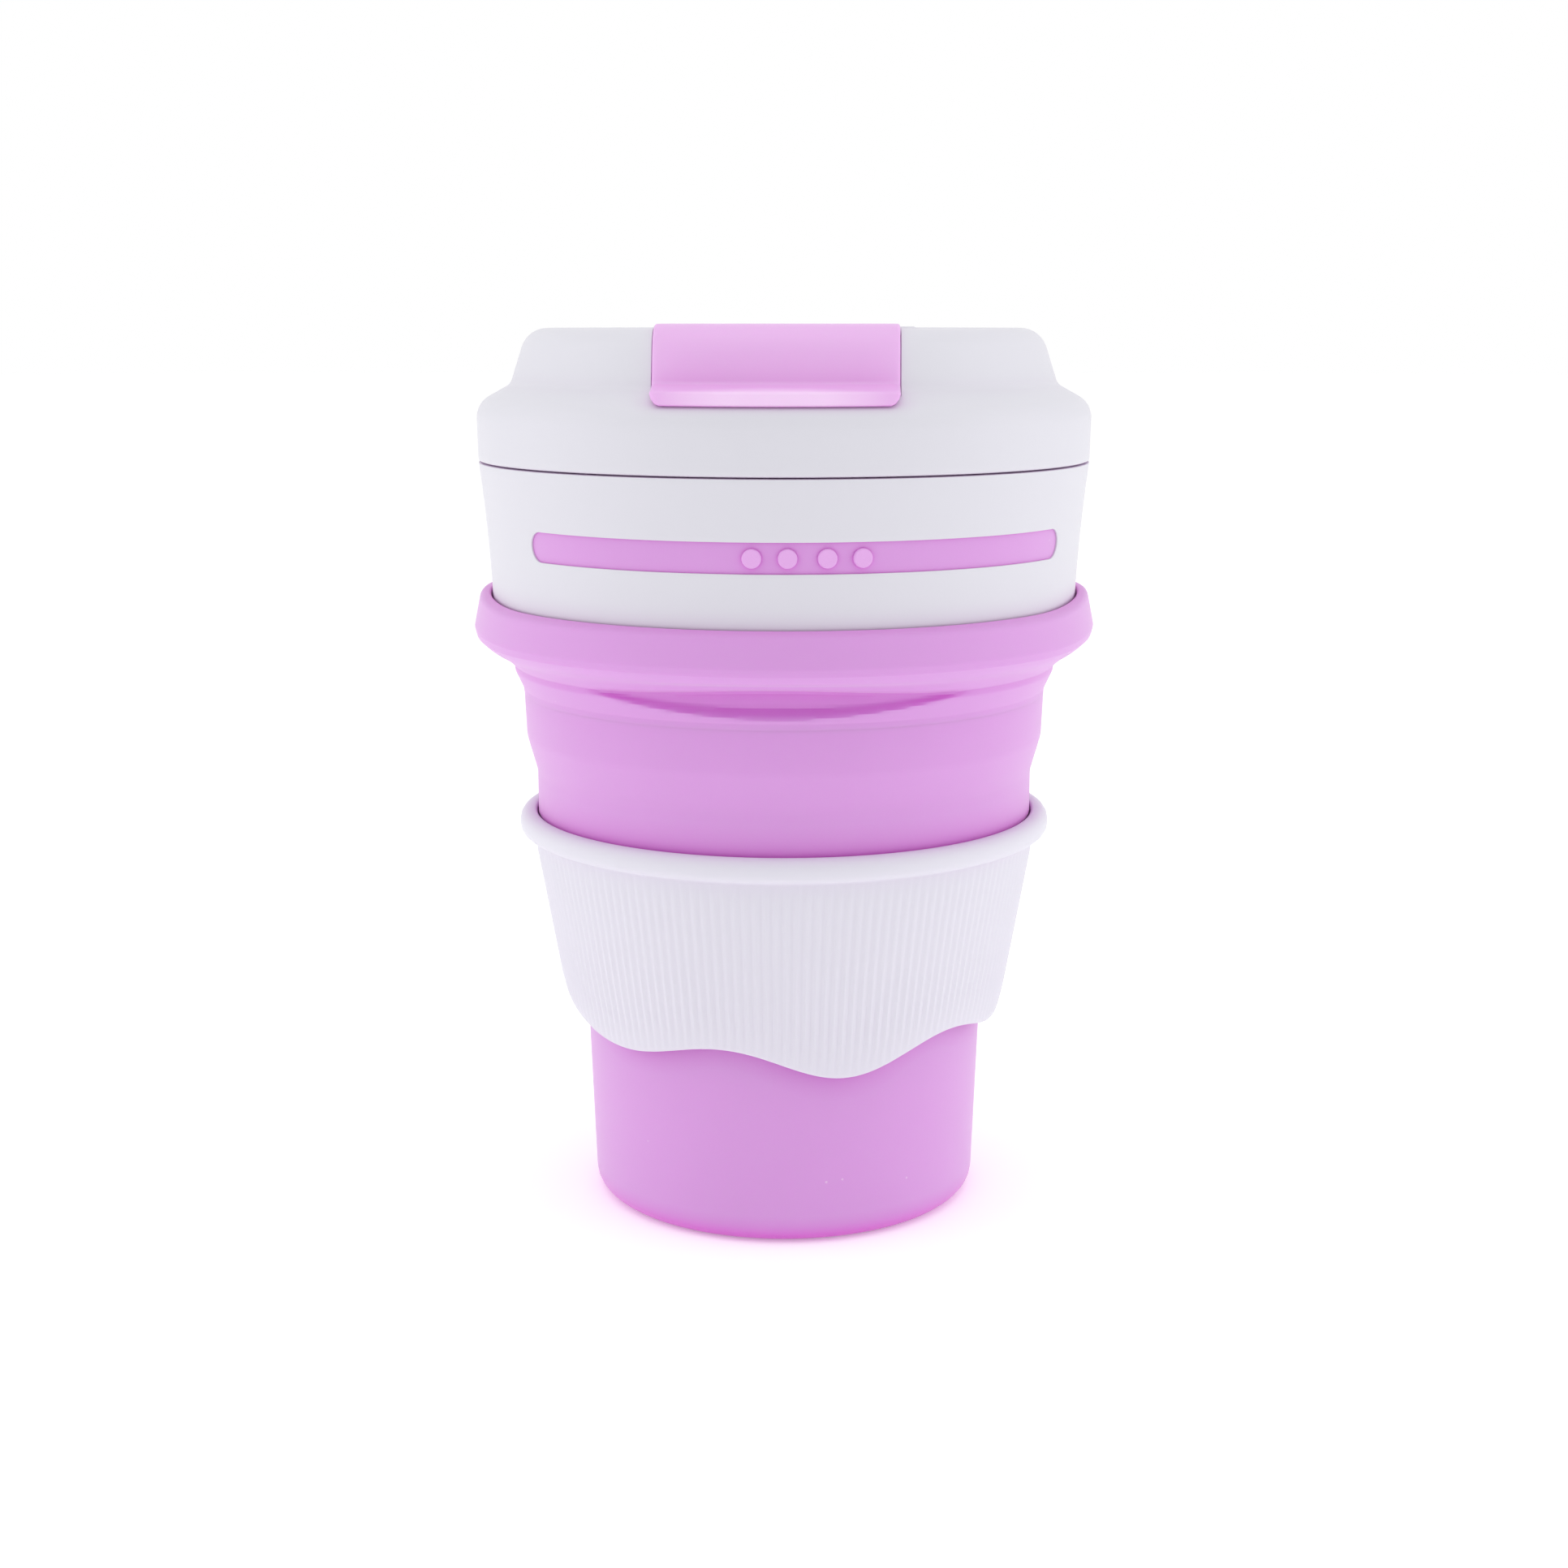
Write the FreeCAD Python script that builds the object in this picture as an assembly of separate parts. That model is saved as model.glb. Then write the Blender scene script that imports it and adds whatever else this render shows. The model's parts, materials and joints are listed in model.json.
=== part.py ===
"""Collapsible travel cup: a folding silicone cup with a rigid collar, a press-on lid with a
flip tab over the sip hole, and a loose ribbed grip sleeve.

Millimetres. The origin is the centre of the base's underside, +Z is up and -Y is the front,
where the flip tab opens. Each function returns the solid of one separate piece. The silicone
cup body is moulded in one go, and is cut here into the rings that move as it folds.
"""
import FreeCAD
import Part
import math
import os
from collections import namedtuple

from FreeCAD import Vector

# ---- cup body: base cup, then four wall rings joined by sloped folds ----
base_top_radius = 30.2
base_draft = 1.15
base_height = 32.0
base_corner = 2.5
base_floor = 2.0
base_wall = 1.5

nest_gap = 0.85
tier_gap = 1.4
outer_gap = 0.4
rim_gap = 1.0
fold_heights = (5.0, 5.5, 5.0, 5.6, 9.4)

Tier = namedtuple("Tier", "gap wall height flare")
tiers = (
    Tier(gap=nest_gap, wall=1.2, height=6.0, flare=0.0),
    Tier(gap=nest_gap, wall=1.2, height=5.5, flare=0.0),
    Tier(gap=tier_gap, wall=1.4, height=6.4, flare=0.0),
    Tier(gap=outer_gap, wall=1.1, height=6.3, flare=0.25),
)

# ---- rim of the cup body, and the rigid collar that it holds ----
flange_height = 4.0
flange_lip_height = 1.7
flange_lip_wall = 1.55
flange_bulge = 1.0
lining_wall = 1.45
lining_neck_height = 13.3
mouth_step = 1.15
collar_wall = 1.8
collar_height = 20.2
collar_waist_height = 7.8
collar_waist_flare = 0.45
collar_flare = 1.66
collar_fit = 0.3
lip_thickness = 0.9
lip_setback = 0.26

# ---- inlaid stripe with its four studs ----
stripe_height = 4.2
stripe_offset = 10.25
stripe_centre = 5.85
stripe_half_angle = 54.0
stripe_recess = 0.25
stud_radius = 1.3
stud_height = 0.4
stud_azimuths = (-3.9, 2.3, 9.2, 15.4)

# ---- lid ----
lid_wall = 1.8
lid_seat_gap = 0.1
lid_overhang = 0.19
lid_height = 18.5
skirt_draft = 0.15
shoulder_drop = 10.72
shoulder_width = 5.02
shoulder_rise = 2.77
crown_taper = 2.61
crown_width = 4.32
crown_slope = 1.8
deck_depth = 3.5
plug_clearance = 0.25
plug_wall = 1.5
plug_depth = 7.9
vent_radius = 0.8
vent_offset = 20.0

# ---- flip tab, its hinge pin and its plug ----
tab_width = 32.4
tab_proud = 0.6
tab_thickness = 2.6
tab_gap = 0.3
tab_lip_reach = 4.17
tab_lip_height = 2.85
tab_lip_slope = 1.1
platform_length = 9.0
platform_edge = 2.2
barrel_radius = 1.8
pin_radius = 0.8
pin_clearance = 0.06
ear_thickness = 2.8
ear_radius = 1.6
sip_length = 13.0
sip_width = 4.6
sip_inset = 4.8
sip_plug_clearance = 0.3
sip_plug_depth = 2.9

# ---- grip sleeve ----
sleeve_fit = 0.2
sleeve_wall = 1.3
sleeve_top_above_tier = 0.6
sleeve_bead_height = 3.3
sleeve_bead_width = 2.57
sleeve_seat_height = 1.0
sleeve_hem_gap = 0.85
sleeve_hem_drop = 28.7
sleeve_length = 40.0
# each term of the wavy hem: waves around the cup, amplitude, azimuth of a crest
hem_waves = ((1, 2.8, 189.0), (5, 1.3, -15.0), (6, 0.7, -24.0), (7, 0.75, -5.0))

cut_reach = 80.0
AXIS = Vector(0, 0, 1)

# ---- radii and heights that follow from the values above ----
Ring = namedtuple("Ring", "z0 z1 outer0 outer1 inner0 inner1")


def stack_rings():
    """The wall rings above the base cup, lowest first."""
    rings = []
    radius = base_top_radius
    z = base_height
    for fold, tier in zip(fold_heights, tiers):
        z0 = z + fold
        inner = radius + tier.gap
        outer = inner + tier.wall
        rings.append(Ring(z0, z0 + tier.height, outer, outer + tier.flare, inner, inner + tier.flare))
        radius = outer + tier.flare
        z = z0 + tier.height
    return rings


rings = stack_rings()
rim_bottom = rings[-1].z1 + fold_heights[-1]
lining_radius = rings[-1].outer1 + rim_gap
mouth_radius = lining_radius + mouth_step
collar_bottom = rim_bottom + flange_height
collar_top = collar_bottom + collar_height
collar_bottom_radius = lining_radius + lining_wall + collar_wall
collar_waist = collar_bottom + collar_waist_height
collar_waist_radius = collar_bottom_radius + collar_waist_flare
collar_top_radius = collar_bottom_radius + collar_flare
flange_lip_radius = collar_bottom_radius + collar_fit
flange_radius = flange_lip_radius + flange_lip_wall + flange_bulge
lip_top = collar_top + lip_thickness

lid_radius = collar_top_radius + lid_overhang
lid_bottom = lip_top + lid_seat_gap
lid_top = lid_bottom + lid_height
deck_z = lid_top - deck_depth
shoulder_z = lid_top - shoulder_drop
wall_foot_radius = lid_radius - shoulder_width
crown_radius = wall_foot_radius - crown_taper
deck_radius = crown_radius - crown_width
platform_z = lid_top + tab_proud - tab_thickness - tab_gap
tab_half_slot = tab_width / 2 + tab_gap
hinge_z = deck_z + tab_gap + barrel_radius
sip_centre = crown_radius - sip_inset - tab_gap

sleeve_tier = rings[2]
sleeve_top = sleeve_tier.z0 + sleeve_top_above_tier
sleeve_bore = sleeve_tier.outer0 + sleeve_fit
sleeve_neck_z = sleeve_top - sleeve_bead_height - 0.3
sleeve_neck_radius = sleeve_bore - 0.95


# ---- shared helpers ----
def arc_between(start, corner, end, radius):
    """The fillet arc of the given radius at a corner, and its two tangent points."""
    back = (start - corner).normalize()
    ahead = (end - corner).normalize()
    half = back.getAngle(ahead) / 2
    reach = radius / math.tan(half)
    middle = (back + ahead).normalize()
    top = corner + middle * (radius / math.sin(half) - radius)
    return corner + back * reach, top, corner + ahead * reach


def profile_face(points):
    """A face in the XZ plane from (radius, height) or (radius, height, fillet) corners."""
    corners = [Vector(p[0], 0, p[1]) for p in points]
    starts = []
    ends = []
    edges = []
    for i, point in enumerate(points):
        fillet = point[2] if len(point) > 2 else 0
        if fillet:
            first, top, last = arc_between(corners[i - 1], corners[i], corners[(i + 1) % len(points)], fillet)
            edges.append(Part.Arc(first, top, last).toShape())
        else:
            first = last = corners[i]
        starts.append(first)
        ends.append(last)
    for i in range(len(points)):
        following = starts[(i + 1) % len(points)]
        if ends[i].distanceToPoint(following) > 1e-6:
            edges.append(Part.LineSegment(ends[i], following).toShape())
    return Part.Face(Part.Wire(Part.__sortEdges__(edges)))


def turned(points, angle=360.0):
    """The solid of revolution about Z of a profile."""
    return profile_face(points).revolve(Vector(0, 0, 0), AXIS, angle)


def centred_box(width, y0, y1, z0, z1):
    """A box centred on X = 0."""
    return Part.makeBox(width, y1 - y0, z1 - z0, Vector(-width / 2, y0, z0))


def front_direction(azimuth):
    """Unit vector at an azimuth in degrees from the front, positive towards +X."""
    angle = math.radians(azimuth)
    return Vector(math.sin(angle), -math.cos(angle), 0)


def offset_corners(points, distance):
    """Move each (radius, height, fillet, turn) corner inwards; turn is +1 convex, -1 concave."""
    moved = []
    for i in range(1, len(points) - 1):
        before, here, after = (Vector(p[0], 0, p[1]) for p in points[i - 1:i + 2])
        first = (here - before).normalize()
        second = (after - here).normalize()
        inward = Vector(first.z, 0, -first.x)
        inward_next = Vector(second.z, 0, -second.x)
        middle = (inward + inward_next).normalize()
        place = here + middle * (distance / middle.dot(inward))
        fillet = points[i][2] - points[i][3] * distance if points[i][2] else 0
        moved.append((place.x, place.z, fillet, points[i][3]))
    return moved


# ---- silicone cup body ----
def cup_base():
    """The lowest cup: floor and wall."""
    foot = base_top_radius - base_draft
    return turned([
        (0, 0),
        (foot, 0, base_corner),
        (base_top_radius, base_height),
        (base_top_radius - base_wall, base_height),
        (foot - base_wall, base_floor, base_corner - base_wall / 2),
        (0, base_floor),
    ])


def cup_tier(ring):
    """One straight wall ring."""
    return turned([
        (ring.inner0, ring.z0),
        (ring.outer0, ring.z0),
        (ring.outer1, ring.z1),
        (ring.inner1, ring.z1),
    ])


def fold_web(lower, upper):
    """The sloped fold between two wall rings."""
    return turned([
        (lower.inner1, lower.z1),
        (lower.outer1, lower.z1),
        (upper.outer0, upper.z0),
        (upper.inner0, upper.z0),
    ])


def rim_fold_web():
    """The stepped fold under the flange: a short step, then a cone out to the flange."""
    ring = rings[-1]
    step_radius = ring.outer1 + 1.35
    cone_bottom = rim_bottom - 5.0
    return turned([
        (ring.inner1, ring.z1),
        (ring.outer1, ring.z1),
        (step_radius, cone_bottom - 1.0, 1.5),
        (step_radius, cone_bottom, 0.4),
        (flange_radius - 0.35, rim_bottom),
        (lining_radius, rim_bottom),
        (lining_radius, rim_bottom - 2.7, 1.0),
    ])


def collar_outline(setback):
    """Corners up the collar's outer face, moved inwards by setback."""
    return [
        (collar_bottom_radius - setback, collar_bottom),
        (collar_waist_radius - setback, collar_waist, 40.0),
        (collar_top_radius - setback, collar_top),
    ]


def cup_rim():
    """The flange, the lining inside the collar, and the lip folded over its top edge."""
    lip_radius = collar_top_radius - lip_setback
    lip_z = collar_bottom + flange_lip_height
    return turned([
        (lining_radius, rim_bottom),
        (flange_radius - 0.35, rim_bottom),
        (flange_radius, rim_bottom + flange_bulge, 0.4),
        (flange_radius - flange_bulge, lip_z, 0.7),
        (flange_lip_radius, lip_z, 0.4),
        (flange_lip_radius, collar_bottom),
        *collar_outline(collar_wall),
        (lip_radius, collar_top),
        (lip_radius, lip_top, 0.3),
        (mouth_radius, lip_top, 0.3),
        (mouth_radius - 0.1, rim_bottom + lining_neck_height, 10.0),
    ])


# ---- collar and its inlay ----
def collar():
    """The rigid ring around the lining, with the slot for the stripe."""
    ring = turned([*collar_outline(0), *reversed(collar_outline(collar_wall))])
    return ring.cut(stripe_slot())


def stripe_slot():
    """A slot with full-round ends that follows the collar part of the way round."""
    z0 = collar_bottom + stripe_offset - stripe_height / 2
    inner = collar_bottom_radius - 2 * collar_wall
    outer = collar_top_radius + collar_wall
    section = [(inner, z0), (outer, z0), (outer, z0 + stripe_height), (inner, z0 + stripe_height)]
    slot = turned(section, 2 * stripe_half_angle)
    slot.rotate(Vector(0, 0, 0), AXIS, stripe_centre - stripe_half_angle - 90)
    ends = []
    for azimuth in (stripe_centre - stripe_half_angle, stripe_centre + stripe_half_angle):
        direction = front_direction(azimuth)
        middle = direction * inner + Vector(0, 0, z0 + stripe_height / 2)
        ends.append(Part.makeCylinder(stripe_height / 2, outer - inner, middle, direction))
    return slot.fuse(ends)


def accent_stripe():
    """The silicone inlay that fills the slot, set back a little, with four round studs."""
    band = turned([*collar_outline(stripe_recess), *reversed(collar_outline(collar_wall))])
    stripe = band.common(stripe_slot())
    studs = []
    for azimuth in stud_azimuths:
        direction = front_direction(azimuth)
        foot = direction * (collar_waist_radius - collar_wall / 2)
        foot.z = collar_bottom + stripe_offset
        studs.append(Part.makeCylinder(stud_radius, collar_wall / 2 + stud_height, foot, direction))
    return stripe.fuse(studs).removeSplitter()


# ---- lid ----
def lid_contour():
    """Corners of the lid's outer face from the deck to the skirt: radius, height, fillet, turn."""
    return [
        (0, deck_z, 0, 0),
        (deck_radius - crown_slope, deck_z, 1.5, -1),
        (deck_radius, lid_top, 2.0, 1),
        (crown_radius, lid_top, 4.0, 1),
        (wall_foot_radius, shoulder_z + shoulder_rise, 2.0, -1),
        (lid_radius, shoulder_z, 3.5, 1),
        (lid_radius - skirt_draft, lid_bottom, 0, 0),
    ]


def sunk_contour():
    """The lid's outer face under the flip tab: a platform, then a wall set back behind the tab."""
    sink = tab_thickness - tab_proud + tab_gap
    slope = crown_taper / (lid_top - shoulder_z - shoulder_rise)
    wall_top = crown_radius + slope * sink - sink
    step = wall_top - platform_length
    contour = lid_contour()
    return [
        (0, deck_z, 0, 0),
        (step, deck_z, 0, -1),
        (step + 0.5, platform_z, 0, 1),
        (wall_top, platform_z, platform_edge, 1),
        (wall_foot_radius - sink, shoulder_z + shoulder_rise + 0.55, 0, -1),
        contour[4][:2] + (0, -1),
        contour[5],
        contour[6],
    ]


def filled(contour):
    """The solid under a lid contour, down to the foot of the skirt."""
    return turned([corner[:3] for corner in contour] + [(0, lid_bottom)])


def hollow_under(contour):
    """The hollow under a lid contour, one wall thickness in."""
    inner = [corner[:3] for corner in offset_corners(contour, lid_wall)]
    foot = lid_radius - skirt_draft - lid_wall
    below = lid_bottom - 1
    return turned([(0, inner[0][1]), *inner, (foot, below), (0, below)])


def sip_slot(clearance, z0, z1):
    """The stadium-shaped sip opening, or its plug when taken in by a clearance."""
    radius = sip_width / 2 - clearance
    half = sip_length / 2 - sip_width / 2
    block = centred_box(2 * half, -sip_centre - radius, -sip_centre + radius, z0, z1)
    ends = [Part.makeCylinder(radius, z1 - z0, Vector(x, -sip_centre, z0)) for x in (-half, half)]
    return block.fuse(ends).removeSplitter()


def hinge_ears():
    """The two ears on the deck that hold the hinge pin."""
    ears = []
    for x in (-tab_half_slot - ear_thickness, tab_half_slot):
        ear = Part.makeCylinder(ear_radius, ear_thickness, Vector(x, 0, hinge_z), Vector(1, 0, 0))
        foot = Part.makeBox(ear_thickness, 2 * ear_radius, hinge_z - deck_z + lid_wall / 2,
                            Vector(x, -ear_radius, deck_z - lid_wall / 2))
        ears.append(ear.fuse(foot))
    return ears


def lid_shell():
    """The press-on lid: crown, recessed deck, plug wall, hinge ears, sip hole and vent."""
    low, high = lid_bottom - 1, lid_top + 5
    slot = centred_box(2 * tab_half_slot, -cut_reach, -sip_centre / 2, low, high)
    walls = centred_box(2 * (tab_half_slot + lid_wall), -cut_reach, -sip_centre / 2, low, high)
    outside = filled(lid_contour()).cut(slot).fuse(filled(sunk_contour()).common(slot))
    hollow = hollow_under(lid_contour()).cut(walls.cut(hollow_under(sunk_contour())))
    shell = outside.cut(hollow)
    plug_outer = mouth_radius - plug_clearance
    plug_low = lid_bottom - plug_depth
    plug_top = shoulder_z + shoulder_rise - 1.2
    plug = turned([
        (plug_outer - plug_wall, plug_low),
        (plug_outer, plug_low, 0.6),
        (plug_outer, plug_top),
        (plug_outer - plug_wall, plug_top),
    ])
    shell = shell.fuse([plug, *hinge_ears()])
    holes = [
        hinge_bore(pin_radius, 2 * (tab_half_slot + ear_thickness)),
        sip_slot(0, deck_z - 2 * lid_wall, platform_z + 1),
        Part.makeCylinder(vent_radius, 3 * lid_wall, Vector(0, vent_offset, deck_z - 2 * lid_wall)),
    ]
    return shell.cut(holes).removeSplitter()


# ---- flip tab ----
def hinge_bore(radius, length):
    """A cylinder along the tab's hinge axis."""
    return Part.makeCylinder(radius, length, Vector(-length / 2, 0, hinge_z), Vector(1, 0, 0))


def flip_tab():
    """The tab from the hinge barrel over the crown to the finger lip."""
    slope = crown_taper / (lid_top - shoulder_z - shoulder_rise)
    top = lid_top + tab_proud
    bottom = top - tab_thickness
    sink = tab_thickness - tab_proud
    wall_foot_z = shoulder_z + shoulder_rise
    lip_root = wall_foot_radius + tab_proud
    lip_end = wall_foot_radius + tab_lip_reach
    drop = shoulder_rise / shoulder_width
    under = tab_gap * 0.7
    band = turned([
        (0, bottom),
        (0, top),
        (crown_radius + tab_proud, top, 4.0 + tab_proud),
        (lip_root - 0.3, wall_foot_z + 1.5, 1.2),
        (lip_end, wall_foot_z + 1.5 - tab_lip_slope, 0.8),
        (lip_end, wall_foot_z - tab_lip_reach * drop + under, 0.4),
        (wall_foot_radius, wall_foot_z + under),
        (wall_foot_radius - sink + 0.1, wall_foot_z + 0.55 + under),
        (crown_radius + slope * sink - sink, bottom, platform_edge - tab_gap),
    ])
    strip = centred_box(tab_width, -cut_reach, 0, lid_bottom, top + 1)
    tab = band.common(strip).fuse(hinge_bore(barrel_radius, tab_width))
    return tab.cut(hinge_bore(pin_radius + pin_clearance, tab_width + 2)).removeSplitter()


def tab_hinge_pin():
    """The pin pressed through both ears."""
    return hinge_bore(pin_radius, 2 * (tab_half_slot + ear_thickness))


def sip_plug():
    """The soft plug under the tab that closes the sip hole."""
    bottom = lid_top + tab_proud - tab_thickness
    return sip_slot(sip_plug_clearance, bottom - sip_plug_depth, bottom)


# ---- grip sleeve ----
def hem_height(azimuth):
    """Height of the sleeve's wavy lower edge at an azimuth in degrees."""
    height = sleeve_top - sleeve_hem_drop
    for waves, amplitude, crest in hem_waves:
        height += amplitude * math.cos(math.radians(waves * (azimuth - crest)))
    return height


def below_hem():
    """Everything under the wavy hem, as a ring-shaped cutter."""
    wires = []
    for radius in (base_top_radius / 2, 2 * base_top_radius):
        points = []
        for step in range(72):
            azimuth = 5.0 * step
            points.append(front_direction(azimuth) * radius + Vector(0, 0, hem_height(azimuth)))
        curve = Part.BSplineCurve()
        curve.interpolate(points, PeriodicFlag=True)
        wires.append(curve.toShape())
    surface = Part.makeRuledSurface(wires[0], wires[1])
    return surface.extrude(Vector(0, 0, -cut_reach))


def grip_sleeve():
    """The loose tapered sleeve with a bead around its top."""
    low = sleeve_top - sleeve_length
    hem = sleeve_top - sleeve_hem_drop - 5
    slope = (sleeve_neck_radius - base_top_radius - sleeve_hem_gap) / (sleeve_neck_z - hem)
    low_radius = sleeve_neck_radius - slope * (sleeve_neck_z - low)
    bead_radius = sleeve_bore + sleeve_bead_width
    body = turned([
        (low_radius, low),
        (low_radius + sleeve_wall, low),
        (sleeve_neck_radius + sleeve_wall, sleeve_neck_z, 0.5),
        (bead_radius, sleeve_top - sleeve_bead_height, 1.2),
        (bead_radius, sleeve_top, 1.4),
        (sleeve_bore, sleeve_top, 0.5),
        (sleeve_bore, sleeve_top - sleeve_seat_height),
        (sleeve_neck_radius, sleeve_neck_z),
    ])
    return body.cut(below_hem())


def build_all():
    """Every piece by node name."""
    base_ring = Ring(0, base_height, base_top_radius, base_top_radius,
                     base_top_radius - base_wall, base_top_radius - base_wall)
    stack = [base_ring] + rings
    pieces = {"cup_base": cup_base(), "cup_rim": cup_rim()}
    for number, ring in enumerate(rings, 1):
        pieces[f"fold_web_{number}"] = fold_web(stack[number - 1], ring)
        pieces[f"cup_tier_{number}"] = cup_tier(ring)
    pieces["fold_web_5"] = rim_fold_web()
    for piece in (collar, accent_stripe, lid_shell, flip_tab, tab_hinge_pin, sip_plug, grip_sleeve):
        pieces[piece.__name__] = piece()
    return pieces


def main():
    os.makedirs("parts", exist_ok=True)
    for name, shape in build_all().items():
        solids = len(shape.Solids)
        print(f"{name:15} solids {solids} volume {shape.Volume:9.1f} valid {shape.isValid()}")
        shape.exportStep(f"parts/{name}.step")


main()
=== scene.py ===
"""Visual model of a collapsible travel cup: lilac silicone body, white collar and lid, flip tab
over the sip hole, and a ribbed white grip sleeve with a wavy hem.

Everything is in metres, in the frame's own axes: +Z up, -Y the front. Heights and outer radii are
read from the frame's nodes; wall thicknesses, fillets and reliefs are the fields of each class.
"""
import json
import logging
import math
from dataclasses import dataclass
from enum import Enum
from typing import Callable, Iterable, Sequence

import bmesh
import bpy
from mathutils import Matrix, Vector

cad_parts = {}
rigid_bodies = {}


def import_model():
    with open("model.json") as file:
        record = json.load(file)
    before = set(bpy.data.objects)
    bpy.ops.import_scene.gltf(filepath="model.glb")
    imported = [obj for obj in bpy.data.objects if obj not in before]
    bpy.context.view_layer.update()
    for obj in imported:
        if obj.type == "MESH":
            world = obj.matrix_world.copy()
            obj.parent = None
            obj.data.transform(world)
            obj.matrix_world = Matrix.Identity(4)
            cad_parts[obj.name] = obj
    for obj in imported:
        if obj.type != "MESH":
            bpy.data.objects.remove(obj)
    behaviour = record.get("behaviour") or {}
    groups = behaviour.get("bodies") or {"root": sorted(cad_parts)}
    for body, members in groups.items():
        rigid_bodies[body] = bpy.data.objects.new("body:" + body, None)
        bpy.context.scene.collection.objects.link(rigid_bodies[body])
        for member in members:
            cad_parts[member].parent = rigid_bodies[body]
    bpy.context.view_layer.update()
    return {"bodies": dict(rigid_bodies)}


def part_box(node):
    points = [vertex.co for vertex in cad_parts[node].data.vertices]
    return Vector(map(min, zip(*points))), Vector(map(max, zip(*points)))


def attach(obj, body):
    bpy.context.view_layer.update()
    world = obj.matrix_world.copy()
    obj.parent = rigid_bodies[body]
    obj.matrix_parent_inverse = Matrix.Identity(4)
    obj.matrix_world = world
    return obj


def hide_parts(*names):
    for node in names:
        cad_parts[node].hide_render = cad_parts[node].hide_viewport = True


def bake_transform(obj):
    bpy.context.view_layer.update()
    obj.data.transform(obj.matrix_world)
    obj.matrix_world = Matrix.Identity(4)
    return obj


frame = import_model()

log = logging.getLogger("travel_cup")
MM = 0.001
TURN = 2 * math.pi
ROUND_STEPS = 192
WELD = 1e-7
SKIN_WELD = 2e-6
GRID_WELD = 1e-6
CARVE_WELD = 5e-6
SMOOTH_BELOW = 35.0
Colour = tuple[float, float, float, float]


def srgb(red: int, green: int, blue: int) -> Colour:
    """A linear colour from 8-bit display values."""
    def linear(value: int) -> float:
        """One channel, display to linear."""
        share = value / 255
        return share / 12.92 if share <= 0.04045 else ((share + 0.055) / 1.055) ** 2.4
    return linear(red), linear(green), linear(blue), 1.0


def smoothstep(low: float, high: float, value: float) -> float:
    """A smooth 0 to 1 ramp between low and high."""
    share = min(max((value - low) / (high - low), 0.0), 1.0)
    return share * share * (3 - 2 * share)


def azimuth_of(place: Vector) -> float:
    """Angle around the cup in radians, 0 at the front and positive towards +X."""
    return math.atan2(place.x, -place.y)


def on_ring(radius: float, azimuth: float, height: float) -> Vector:
    """The point at a radius, an azimuth from the front and a height."""
    return Vector((radius * math.sin(azimuth), -radius * math.cos(azimuth), height))


# ---------------------------------------------------------------- outlines and meshes
@dataclass(frozen=True)
class Corner:
    """A corner of an outline, in metres: distance from the axis, height and fillet radius."""

    r: float
    z: float
    fillet: float = 0.0

    def vector(self) -> Vector:
        """The corner as a vector in the outline's plane."""
        return Vector((self.r, 0.0, self.z))


def corners(*rows: Sequence[float]) -> list[Corner]:
    """Corners from rows of millimetres: radius, height and, where rounded, the fillet."""
    return [Corner(*(value * MM for value in row)) for row in rows]


@dataclass
class Outline:
    """A chain of corners, with its fillets as arcs and its long runs divided."""

    chain: list[Corner]
    closed: bool = True
    arc_steps: int = 6
    run: float = 2.0 * MM

    def rounded(self, index: int) -> list[Vector]:
        """The points that stand for one corner.

        Args:
            index: place of the corner in the chain.

        Returns:
            The corner itself, or the points of its fillet arc.
        """
        here = self.chain[index]
        ends = not self.closed and index in (0, len(self.chain) - 1)
        if here.fillet <= 0 or ends:
            return [here.vector()]
        centre = here.vector()
        back = (self.chain[index - 1].vector() - centre).normalized()
        ahead = (self.chain[(index + 1) % len(self.chain)].vector() - centre).normalized()
        half = back.angle(ahead) / 2
        hub = centre + (back + ahead).normalized() * (here.fillet / math.sin(half))
        first = (centre + back * (here.fillet / math.tan(half)) - hub).normalized()
        last = (centre + ahead * (here.fillet / math.tan(half)) - hub).normalized()
        return [hub + first.slerp(last, step / self.arc_steps) * here.fillet
                for step in range(self.arc_steps + 1)]

    def points(self) -> list[Vector]:
        """All points of the outline in order, with no run longer than the set length."""
        bare = [point for index in range(len(self.chain)) for point in self.rounded(index)]
        pairs = zip(bare, bare[1:] + bare[:1] if self.closed else bare[1:])
        full = []
        for start, end in pairs:
            cuts = max(1, math.ceil((end - start).length / self.run))
            full += [start.lerp(end, cut / cuts) for cut in range(cuts)]
        return full if self.closed else full + [bare[-1]]

    def wire(self, bm: bmesh.types.BMesh) -> list:
        """Draws the outline as loose edges and returns its vertices and edges."""
        verts = [bm.verts.new(point) for point in self.points()]
        pairs = zip(verts, verts[1:] + verts[:1] if self.closed else verts[1:])
        return verts + [bm.edges.new(pair) for pair in pairs]


def lathe(outline: Outline, steps: int = ROUND_STEPS) -> bmesh.types.BMesh:
    """A full turn of an outline about Z, with outward normals.

    Args:
        outline: the outline in the XZ plane.
        steps: divisions around the axis.

    Returns:
        The new bmesh.
    """
    bm = bmesh.new()
    bmesh.ops.spin(bm, geom=outline.wire(bm), cent=(0, 0, 0), axis=(0, 0, 1), angle=TURN,
                   steps=steps, use_merge=True)
    return tidy(bm)


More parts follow.
